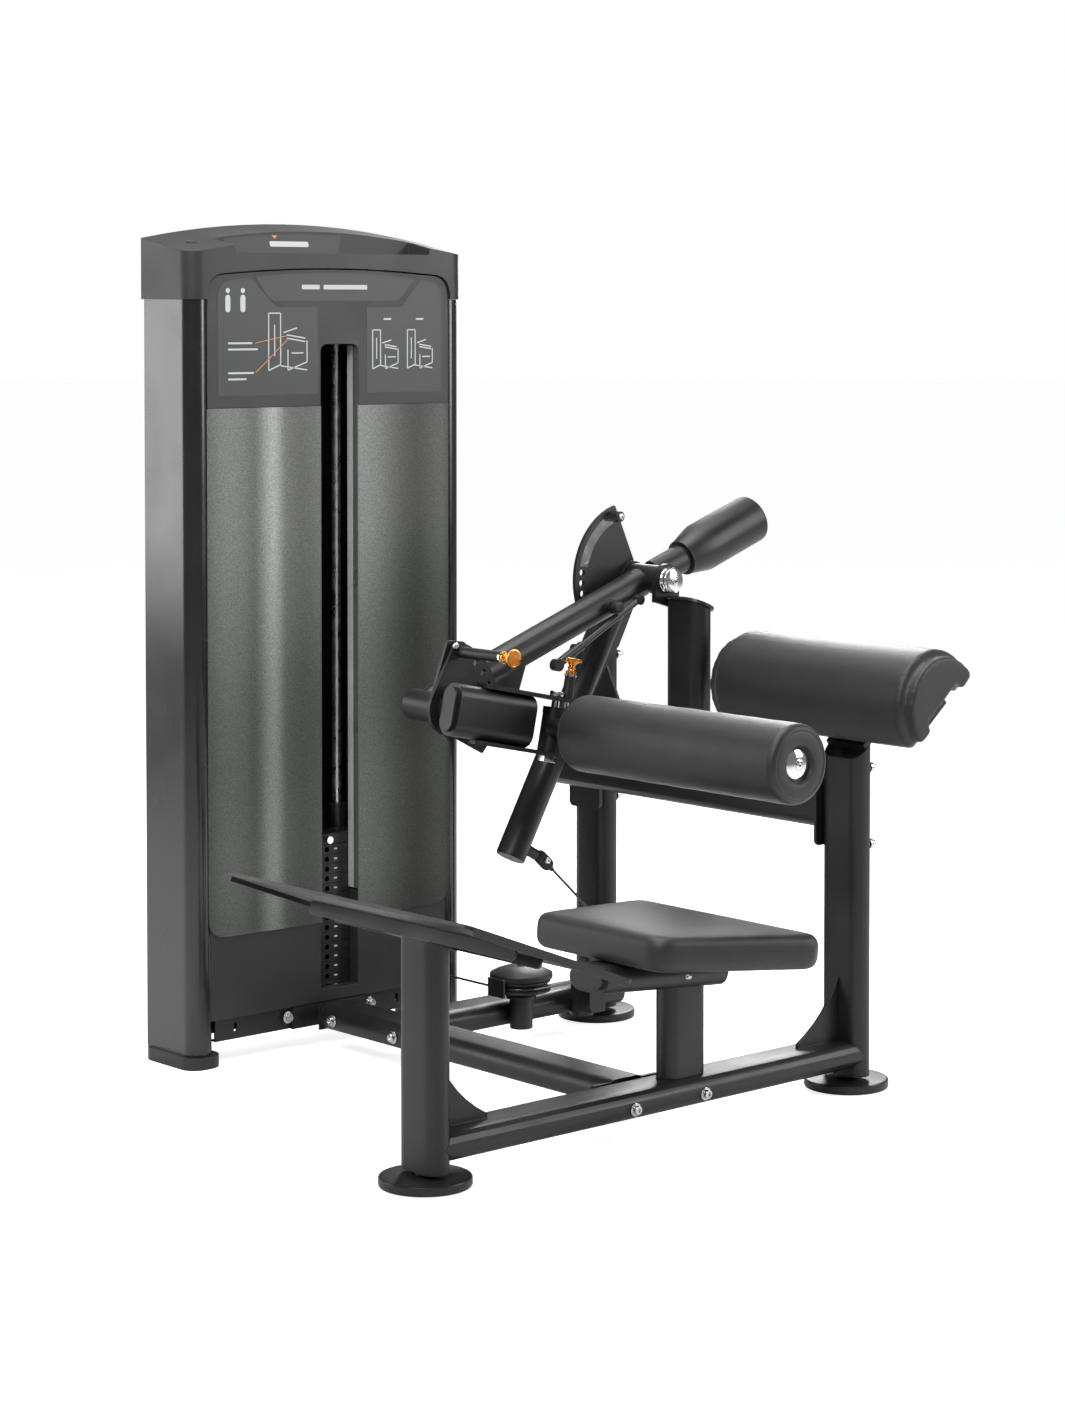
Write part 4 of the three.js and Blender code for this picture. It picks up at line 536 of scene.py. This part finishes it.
# ---------------------------------------------------------------- hardware
BOLT = [(12, 0), (12, 1.6), (11.2, 2.2), (8.6, 2.4), (8.6, 7.4), (7.4, 9.2), (4.3, 9.4), (4.3, 6.4)]
LONG_BOLT = [(12, 0), (12, 2), (9.6, 2.2), (9.6, 10.6), (8.6, 11.6), (5.4, 11.8), (5.4, 20), (4.6, 21)]
PAD_POST_HOLES = [(533.2, y, z) for y in (-448, -392) for z in (608, 463)]
FAR_POST_HOLES = [(587.2, y, z) for y in (310, 366) for z in (757, 463)]
SMALL_BOLT = [(6.5, 0), (6.5, 3.2), (5.4, 4.6), (2.8, 4.8), (2.8, 2.6)]
KNOB = [
    (9.2, 0), (10.4, 1), (10.4, 4.6), (9.2, 5.6), (6.6, 6.8), (6.1, 8.6), (7.6, 10.2), (8.1, 11.8),
    (7.4, 13.2), (6.2, 14.8), (6.6, 17.4), (9.2, 20), (13.6, 22.4), (17, 24), (17.6, 25), (17.6, 29.4),
    (16.8, 30.4), (14.6, 30.8), (14.2, 30.4), (0, 30.4),
]
USER_SIDE = (0, -1, 0)


def turned_piece(name, profile, matrix, centre, axis, material, body, count=32, width=0.0):
    piece = lathe(name, profile, material, count)
    return fitted(piece, axis_frame(matrix, centre, axis), body, width)


def bolts(name, profile, matrix, centres, axis, body, material=ZINC, count=18):
    """Equal bolts on one face, as one piece."""
    heads = []
    for i, centre in enumerate(centres):
        head = lathe(f"{name}_{i}", profile, material, count)
        head.data.transform(axis_frame(Matrix.Identity(4), centre, axis))
        heads.append(head)
    return fitted(merged(name, heads), matrix, body, 0.3)


def frame_bolts():
    """Bright bolt heads on the rails, the posts, the tower's cross member and the seat bracket."""
    bolts("rail_bolts", BOLT, WORLD, [(-88, -470, 64), (85, -470, 64)], USER_SIDE, "frame")
    bolts("pad_post_bolts", LONG_BOLT, WORLD, PAD_POST_HOLES, (1, 0, 0), "frame")
    bolts("far_post_bolts", LONG_BOLT, WORLD, FAR_POST_HOLES, (1, 0, 0), "frame")
    bolts("spine_bolts", BOLT, WORLD, [(-66.2, 235, 67), (-66.2, 425, 67)], (-1, 0, 0), "frame")
    bolts("cross_member_bolts", BOLT, WORLD, [(-120, 498.8, 70), (88, 498.8, 70)], USER_SIDE, "frame")
    bolts("seat_bracket_bolts", SMALL_BOLT, WORLD, [(-30, -545, 305), (-30, -440, 305)], (-1, 0, 0), "frame")


def plungers():
    """The two orange pull knobs with their chrome collars."""
    start = lathe("start_knob", KNOB, ORANGE, 40)
    start.data.transform(axis_frame(Matrix.Identity(4), (3, -84, 109), USER_SIDE))
    stem = lathe("start_stem", [(4.4, 0), (5, 0.8), (5, 134.4)], CHROME, 24)
    stem.data.transform(axis_frame(Matrix.Identity(4), (3, 49.7, 109), USER_SIDE))
    piece = fitted(merged("start_plunger", [start, stem]), HUB, "start_pin_body", 0.25)
    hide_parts("start_pin")
    swing = lathe("swing_knob", KNOB, ORANGE, 40)
    swing.data.transform(Matrix.Translation((258, CARRIAGE_Y, 104)))
    stem = lathe("swing_stem", [(4.4, 0), (5, 0.8), (5, 68.2)], CHROME, 24)
    stem.data.transform(Matrix.Translation((258, CARRIAGE_Y, 36.4)))
    piece = fitted(merged("swing_plunger", [swing, stem]), HUB, "swing_pin_body", 0.25)
    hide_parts("swing_pin")
    collar = [(9.5, 0), (12.2, 0.6), (12.2, 5), (11.6, 5.5), (5.6, 5.6)]
    start_place = ("start_collar", (3, -78.1, 109), USER_SIDE)
    swing_place = ("swing_collar", (258, CARRIAGE_Y, 98.2), (0, 0, 1))
    for name, centre, axis in (start_place, swing_place):
        turned_piece(name, collar, HUB, centre, axis, CHROME, "carriage_body")
    bolts("start_block_screw", SMALL_BOLT, HUB, [(-12, 39.8, 118)], USER_SIDE, "carriage_body")


def capped_screw(name, radius, rise, matrix, centre, axis, body, replaced=None):
    """A bright domed cap with a socket screw in its middle."""
    dome = [(radius, 0), (radius, 1.2)]
    dome += [(radius * math.cos(a), 1.2 + rise * math.sin(a)) for a in (0.25, 0.5, 0.75, 1.0, 1.15)]
    top = dome[-1][1]
    screw = [(0.36, 0.1), (0.35, -1), (0.29, -1), (0.28, 1.6), (0.22, 2.2), (0.12, 2.2), (0.12, -0.5)]
    dome += [(radius * share, top + height) for share, height in screw]
    piece = turned_piece(name, dome, matrix, centre, axis, CHROME, body, 48)
    soften(piece, 0.25 * MM)
    if replaced:
        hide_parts(replaced)


def facing_user(x, y, z):
    """Design millimetres of a sheet at (x, y, z) whose local x and y are the machine's X and Z."""
    return Matrix(((1, 0, 0, x), (0, 0, -1, y), (0, 1, 0, z), (0, 0, 0, 1)))


def plane_y(y):
    """A frame whose local x and y are the machine's X and Z, facing the user's side at that depth."""
    return WORLD @ facing_user(0, y, 0)


def quadrant_trim():
    """The polished arc strip beside the holes and the screw of the rubber stop."""
    centre = Matrix.Translation((PIVOT[0], PIVOT[1], 0))
    outer = arc(0, 0, 143, 116, 168, 24)
    inner = arc(0, 0, 122, 168, 114, 24)
    strip = slab("arc_strip", outer + inner, 0, 0.2, CHROME)
    strip.data.transform(centre)
    fitted(strip, plane_y(154), "drive_lever_body")
    stop = math.radians(112)
    spot = (PIVOT[0] + 135 * math.cos(stop), 132, PIVOT[1] + 135 * math.sin(stop))
    bolts("stop_screw", SMALL_BOLT, WORLD, [spot], USER_SIDE, "drive_lever_body")


def clevis_boot():
    """The moulded boot over the cable's clevis."""
    low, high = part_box("drive_cable")
    tip = Vector((low.x, (low.y + high.y) / 2, high.z))
    run = Vector((high.x - low.x, 0, low.z - high.z)).normalized()
    boot = [(4, -46), (9.4, -45), (12.6, -41), (13.4, -36), (13.4, -12), (12, -6), (8.4, -1.5), (5.2, 0),
            (4.6, 7), (3.2, 9)]
    piece = lathe("cable_boot", boot, RUBBER, 32)
    fitted(piece, millimetres_at(tip, run), "cable_clevis_body", 0.6)
    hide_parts("cable_clevis")
    screw = lathe("boot_screw", SMALL_BOLT, ZINC, 18)
    face = tip - run * 0.026 + Vector((0, -0.0125, 0))
    fitted(screw, millimetres_at(face, USER_SIDE), "cable_clevis_body", 0.2)


def levelling_feet():
    """Wide discs with a collar under the two end posts and the far post."""
    disc = [(74, 0), (78.5, 1.2), (80, 4), (80, 14.2), (78.6, 17), (75, 18), (22, 18.6), (17, 19.4)]
    disc += [(16.4, 22), (10, 22.4), (10, 25.7)]
    for node in ("foot_end_levelling_foot", "pad_end_levelling_foot", "far_levelling_foot"):
        low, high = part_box(node)
        centre = ((low + high) / 2 - ORIGIN) / MM
        name = node.replace("levelling_foot", "disc")
        spot = (centre.x, centre.y, 0)
        foot = turned_piece(name, disc, WORLD, spot, (0, 0, 1), STEEL, "frame", 64, 0.5)
        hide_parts(node)


PULLEYS = ("seat_pulley", "base_pulley", "tower_pulley", "top_pulley")
RIM_RADIUS = 49
BORE_RADIUS = 8.4
HUB_RADIUS = 15


def pulley_wheels():
    """Nylon wheels with a web and a cable groove, each grown to the radius of its CAD node."""
    rim = [(BORE_RADIUS, -11), (14, -11), (HUB_RADIUS, -9), (HUB_RADIUS, -4), (30, -3.2), (38, -4), (41, -9)]
    rim += [(47, -12), (RIM_RADIUS, -11), (RIM_RADIUS, -8)]
    groove = [(44.6, -3.2), (43.6, -1.6), (43.5, 0)]
    half = rim + groove
    profile = half + [(radius, -height) for radius, height in reversed(half[:-1])]
    for joint in frame["joints"]:
        node = joint["name"].replace("_turn", "")
        if not node.startswith(PULLEYS):
            continue
        low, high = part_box(node)
        centre = (low + high) / 2
        grow = (max(high - low) / 2 / MM) / RIM_RADIUS
        grown = [(max(r * grow, BORE_RADIUS) if r > HUB_RADIUS else r, h) for r, h in profile]
        wheel = lathe(node + "_wheel", grown, NYLON, 56)
        fitted(wheel, millimetres_at(centre, joint["axis"]), node + "_body", 0.4)
        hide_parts(node)


PLATE_COUNT = 15
PLATE_PITCH = 19.7
PLATE_GAP = 0.3
STACK_FOOT = 100
STACK_SIDES = (-158, 182)
STACK_FRONT = 532
STACK_BACK = 644
PIN_HOLE_X = 4
PLATE_MARK_X = 26


def weight_plates():
    """Fifteen plates with eased edges; each has its pin hole and a paint mark on the front."""
    outline = rounded(*STACK_SIDES, STACK_FRONT, STACK_BACK, 6)
    pieces = []
    marks = []
    for i in range(PLATE_COUNT):
        base = STACK_FOOT + PLATE_PITCH * i
        pieces.append(slab(f"plate_{i}", outline, base + PLATE_GAP, base + PLATE_PITCH - PLATE_GAP, STEEL))
        middle = base + PLATE_PITCH / 2
        hole = lathe(f"plate_hole_{i}", [(6.6, 0), (6.6, 0.5), (5.2, 0.6), (5.0, -6)], NYLON, 20)
        hole.data.transform(axis_frame(Matrix.Identity(4), (PIN_HOLE_X, STACK_FRONT, middle), USER_SIDE))
        pieces.append(hole)
        mark = slab(f"plate_mark_{i}", rounded(-4, 4, -1.6, 1.6, 1.4), 0, 0.3, DISC_WHITE)
        mark.data.transform(facing_user(PLATE_MARK_X, STACK_FRONT, middle))
        marks.append(mark)
    stack = fitted(merged("weight_plates", pieces), WORLD, "frame", 0.9)
    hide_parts("resting_plates")
    fitted(merged("weight_marks", marks), WORLD, "frame")


def print_panel(name, outline, depth_frame, material, thick=0.35):
    return fitted(slab(name, outline, 0, thick, material), depth_frame, "frame")


def bar_mark(x, y, wide, tall, radius=1.6):
    return slab("bar_mark", rounded(x, x + wide, y, y + tall, radius), 0.3, 0.55, PALE_PRINT)


def stroke(x0, y0, x1, y1, wide, material):
    """A printed line between two points of the board."""
    side = Vector((y0 - y1, x1 - x0)).normalized() * wide / 2
    corners = [(x0 - side.x, y0 - side.y), (x1 - side.x, y1 - side.y), (x1 + side.x, y1 + side.y),
               (x0 + side.x, y0 + side.y)]
    return slab("stroke", corners, 0.3, 0.6, material)


# Line segments of the drawing as shares of its size: x0, y0, x1, y1.
ICON_LINES = [
    (0, 0, 0, 1), (0.26, 0.1, 0.26, 1), (0, 1, 0.26, 1), (0, 0, 0.26, 0.1), (0.13, 0.25, 0.13, 0.8),
    (0.26, 0.08, 0.84, 0), (0.42, 0, 0.84, 0.14), (0.42, 0, 0.42, 0.36), (0.84, 0.14, 0.84, 0.52),
    (0.5, 0.3, 0.76, 0.3), (0.4, 0.56, 0.8, 0.5), (0.4, 0.62, 0.8, 0.56), (0.32, 0.66, 0.62, 0.74),
]


def machine_icon(x, y, size):
    """A line drawing of a generic machine: a tower, a floor frame, a seat and a roller."""
    scaled = [[share * size for share in line] for line in ICON_LINES]
    return [stroke(x + a, y + b, x + c, y + d, 2.4, PALE_PRINT) for a, b, c, d in scaled]


def instruction_graphics():
    """Print areas, plain bars for heading and captions, three line drawings and two simple figures."""
    board = plane_y(497)
    left = arc(-278, 1312, 8, 180, 270) + [(-43, 1304), (-43, 1476)] + arc(-140, 1490, 14, 270, 225)
    left += [(-158, 1487), (-206, 1532), (-258, 1528)] + arc(-258, 1498, 28, 100, 180)
    right = [(81, 1304)] + arc(268, 1312, 8, 270, 360) + arc(248, 1498, 28, 0, 80)
    right += [(222, 1531), (182, 1490)] + arc(166, 1490, 14, 315, 270) + [(81, 1476)]
    title = [(-196, 1535), (-164, 1494)] + arc(-148, 1502, 14, 225, 270) + arc(152, 1502, 14, 270, 315)
    title += [(172, 1498), (204, 1533)] + [(120, 1541), (12, 1544), (-110, 1541)]
    for name, outline in (("left_print", left), ("right_print", right), ("title_print", title)):
        print_panel(name, outline, board, PANEL_PRINT)
    marks = [bar_mark(-82, 1511, 44, 9), bar_mark(-28, 1511, 110, 9)]
    captions = [(-262, 58, 1404), (-262, 72, 1392), (-262, 62, 1346), (-262, 44, 1334)]
    captions += [(124, 20, 1450), (208, 20, 1450)]
    marks += [bar_mark(x0, z, wide, 3.6) for x0, wide, z in captions]
    for x0, z0, size in ((-164, 1352, 112), (96, 1352, 78), (186, 1352, 78)):
        marks += machine_icon(x0, z0, size)
    for x0 in (-262, -226):
        marks.append(slab("figure_head", arc(x0, 1508, 5, 0, 350, 16), 0.3, 0.55, PALE_PRINT))
        marks.append(bar_mark(x0 - 6, 1466, 12, 34, 6))
    fitted(merged("board_marks", marks), board, "frame")
    leaders = [stroke(-196, z0, -118, z1, 1.4, AMBER_PRINT) for z0, z1 in ((1406, 1420), (1348, 1412))]
    fitted(merged("board_leaders", leaders), board, "frame")


def cap_plaque():
    """A plaque on the sloping back wall of the tray, with a bar and a small gem in place of a name."""
    rise = Vector((36, 146)).normalized()
    wall = WORLD @ Matrix(((1, 0, 0, 0), (0, rise.x, -rise.y, 556), (0, rise.y, rise.x, 1574), (0, 0, 0, 1)))
    outline = [(-214, 8), (46, 8)] + arc(50, 16, 8, 300, 345, 3)
    outline += [(70, 47), (-40, 48), (-140, 44), (-226, 37)]
    print_panel("cap_plaque", outline, wall, PANEL_PRINT, 0.8)
    gem = slab("plaque_gem", [(-98, 38), (-91, 45), (-105, 45)], 0.7, 1.1, AMBER_PRINT)
    marks = [bar_mark(-112, 22, 96, 11, 3), gem]
    fitted(merged("plaque_marks", marks), wall @ Matrix.Translation((0, 0, 0.6)), "frame")


def roof_hole():
    """The grommet of the small sight hole in the cap's roof."""
    above = place(-300, 560, 1800)
    _, spot, normal, _ = NODES["tower_cap"].ray_cast(above, Vector((0, 0, -1)))
    grommet = lathe("roof_grommet", [(7.5, 0), (12, 0.1), (12, 1), (8.2, 1.6), (7.4, 0.9)], NYLON, 32)
    fitted(grommet, millimetres_at(spot, normal), "frame", 0.2)


def slot_trims():
    """Satin edge strips along the right wall of the slot in front of the stack."""
    strips = [("slot_trim", 57.0, 514, 530.5, TRIM), ("slot_edge", 57.4, 498.5, 512.5, SMOKED_EDGE)]
    for name, left, front, back, material in strips:
        strip = slab(name, rounded(left, 58.9, front, back, 0.7), 306, 1399, material)
        fitted(strip, WORLD, "frame", 0.3)


def tube_along(name, points, radius, material, count=12):
    """A round tube through points, its ends closed."""
    vertices = []
    for i, point in enumerate(points):
        ahead = Vector(points[min(i + 1, len(points) - 1)]) - Vector(points[max(i - 1, 0)])
        turn = ahead.to_track_quat("Z", "Y").to_matrix()
        vertices += [Vector(point) + turn @ Vector(p) for p in ring_points(radius, 0, count)]
    faces = []
    for level in range(len(points) - 1):
        base = level * count
        for i in range(count):
            j = (i + 1) % count
            faces.append([base + i, base + j, base + count + j, base + count + i])
    last = (len(points) - 1) * count
    faces += [list(range(count))[::-1], [last + i for i in range(count)]]
    return mesh_piece(name, vertices, faces, material)


CABLE_RADIUS = 0.0025
CABLE_STEPS = 40


def moving_cables():
    """Round ropes in place of the two moving cables, each a straight run: one to the clevis and one over the
    stack.
    """
    low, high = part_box("drive_cable")
    start = Vector((high.x - 0.0024, (low.y + high.y) / 2, low.z + 0.0012))
    end = Vector((low.x + 0.0022, (low.y + high.y) / 2, high.z - 0.0014))
    route = [start.lerp(end, i / CABLE_STEPS) for i in range(CABLE_STEPS + 1)]
    drive = smooth(outward(tube_along("drive_rope", route, CABLE_RADIUS, JACKET)))
    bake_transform(drive)
    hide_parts("drive_cable")
    low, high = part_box("lift_cable")
    middle = (low + high) / 2
    foot = Vector((middle.x, middle.y, low.z))
    head = Vector((middle.x, middle.y, high.z))
    route = [foot.lerp(head, i / CABLE_STEPS) for i in range(CABLE_STEPS + 1)]
    lift = smooth(outward(tube_along("lift_rope", route, CABLE_RADIUS, JACKET)))
    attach(lift, "frame")
    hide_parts("lift_cable")
    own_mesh(lift)


# ---------------------------------------------------------------- upholstery
def node_copy(node, name, material):
    """A welded copy of a CAD node's mesh, free to be reshaped."""
    shape = bmesh.new()
    shape.from_mesh(NODES[node].data)
    bmesh.ops.remove_doubles(shape, verts=shape.verts, dist=WELD_DISTANCE)
    mesh = bpy.data.meshes.new(name)
    shape.to_mesh(mesh)
    shape.free()
    custom = mesh.attributes.get("custom_normal")
    if custom is not None:
        mesh.attributes.remove(custom)
    mesh.materials.clear()
    mesh.materials.append(material)
    obj = bpy.data.objects.new(name, mesh)
    SCENE.collection.objects.link(obj)
    return obj


def apply_modifiers(obj):
    bpy.context.view_layer.update()
    graph = bpy.context.evaluated_depsgraph_get()
    mesh = bpy.data.meshes.new_from_object(obj.evaluated_get(graph))
    obj.modifiers.clear()
    obj.data = mesh
    return obj


def shrink(obj, distance):
    shape = bmesh.new()
    shape.from_mesh(obj.data)
    shape.normal_update()
    for vertex in shape.verts:
        vertex.co -= vertex.normal * distance * vertex.calc_shell_factor()
    shape.to_mesh(obj.data)
    shape.free()


CLOTH_FRAMES = 12
CLOTH_STIFFNESS = 80


def inflate(obj, pressure, cap, held):
    """Blows the cover up by cloth simulation, outward only; held(place) keeps what rests on the board."""
    rest = [v.co.copy() for v in obj.data.vertices]
    group = obj.vertex_groups.new(name="board")
    for vertex in obj.data.vertices:
        if held(vertex.co):
            group.add([vertex.index], 1.0, "REPLACE")
    cloth = obj.modifiers.new("cover", "CLOTH")
    cloth.settings.quality = 5
    cloth.settings.mass = 0.3
    cloth.settings.tension_stiffness = CLOTH_STIFFNESS
    cloth.settings.compression_stiffness = CLOTH_STIFFNESS
    cloth.settings.shear_stiffness = CLOTH_STIFFNESS
    cloth.settings.bending_stiffness = 60
    cloth.settings.use_pressure = True
    cloth.settings.uniform_pressure_force = pressure
    cloth.settings.vertex_group_mass = "board"
    cloth.settings.effector_weights.gravity = 0
    for step in range(1, CLOTH_FRAMES + 1):
        SCENE.frame_set(step)
    graph = bpy.context.evaluated_depsgraph_get()
    blown = [v.co.copy() for v in obj.evaluated_get(graph).data.vertices]
    obj.modifiers.clear()
    obj.vertex_groups.clear()
    for vertex, start, end in zip(obj.data.vertices, rest, blown):
        rise = max(0.0, min(cap, (end - start).dot(vertex.normal)))
        vertex.co = start + vertex.normal * rise
    SCENE.frame_set(1)


VOXEL = 0.0055
SEAT_BOARD = 0.012


def upholster(node, name, inset, pressure, cap, held):
    """A padded piece grown from a CAD solid: remeshed, blown up as cloth, smoothed and refined."""
    pad = node_copy(node, name, VINYL)
    shrink(pad, inset)
    mesher = pad.modifiers.new("remesh", "REMESH")
    mesher.mode = "VOXEL"
    mesher.voxel_size = VOXEL
    easer = pad.modifiers.new("ease", "SMOOTH")
    easer.factor = 0.5
    easer.iterations = 2
    apply_modifiers(pad)
    inflate(pad, pressure, cap, held)
    settle = pad.modifiers.new("settle", "SMOOTH")
    settle.factor = 0.5
    settle.iterations = 3
    finer = pad.modifiers.new("refine", "SUBSURF")
    finer.levels = 1
    finer.render_levels = 1
    apply_modifiers(pad)
    pad.data.materials.clear()
    pad.data.materials.append(VINYL)
    smooth(pad)
    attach(pad, "frame")
    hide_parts(node)


ROLLER_RECESS = 11.8


def make_roller():
    """The foam roller: a tight vinyl wrap, a sewn ring at each shoulder and a recess for the end cap."""
    low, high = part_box("roller_pad")
    centre = (low + high) / 2
    length = (high.y - low.y) / MM
    inner = [(15.6, 0), (57, 0), (58.4, 0.6), (59.4, 1.0), (60.4, 0.2)]
    inner += [(58.5 + 14 * math.sin(a), 13.6 - 14 * math.cos(a)) for a in (0.2, 0.45, 0.7, 0.95, 1.2, 1.4)]
    inner += [(72.6, 13), (72.6, 20)]
    body = [(72.6 + 0.25 * math.sin(i * 0.9), 20 + (length - 40) * i / 46) for i in range(1, 46)]
    outer = [(radius, length - height) for radius, height in reversed(inner[1:])]
    recess = [(36.4, 0), (35, 0.6), (34.4, 2), (34.2, 11), (32.4, ROLLER_RECESS), (15.6, ROLLER_RECESS)]
    recess = [(radius, length - depth) for radius, depth in recess]
    roller = lathe("roller_cover", inner + body + outer + recess, VINYL, 96)
    hub_end = Vector((centre.x, high.y, centre.z))
    fitted(roller, millimetres_at(hub_end, USER_SIDE), "roller_pad_body")
    smooth(roller)
    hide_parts("roller_pad")
    near_end = Matrix.Translation((centre.x, low.y, centre.z)) @ Matrix.Scale(MM, 4)
    capped_screw("roller_dome", 29.4, 8, near_end, (0, ROLLER_RECESS, 0), USER_SIDE, "roller_bracket_body",
                 "roller_end_cap")


make_camera()
make_lights()
make_stage(FLOOR_PAINT)
finish_nodes()
frame_bolts()
plungers()
quadrant_trim()
capped_screw("pivot_dome", 25.5, 5.5, WORLD, (PIVOT[0], 33.6, PIVOT[1]), USER_SIDE, "frame")
levelling_feet()
clevis_boot()
pulley_wheels()
weight_plates()
instruction_graphics()
cap_plaque()
roof_hole()
slot_trims()
moving_cables()
SEAT_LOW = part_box("seat_cushion")[0]
upholster("seat_cushion", "seat_cover", 0.001, 2.0, 0.0035, lambda p: p.z < SEAT_LOW.z + SEAT_BOARD)
upholster("back_pad", "back_pad_cover", 0.0006, 1.5, 0.0015, lambda p: False)
make_roller()
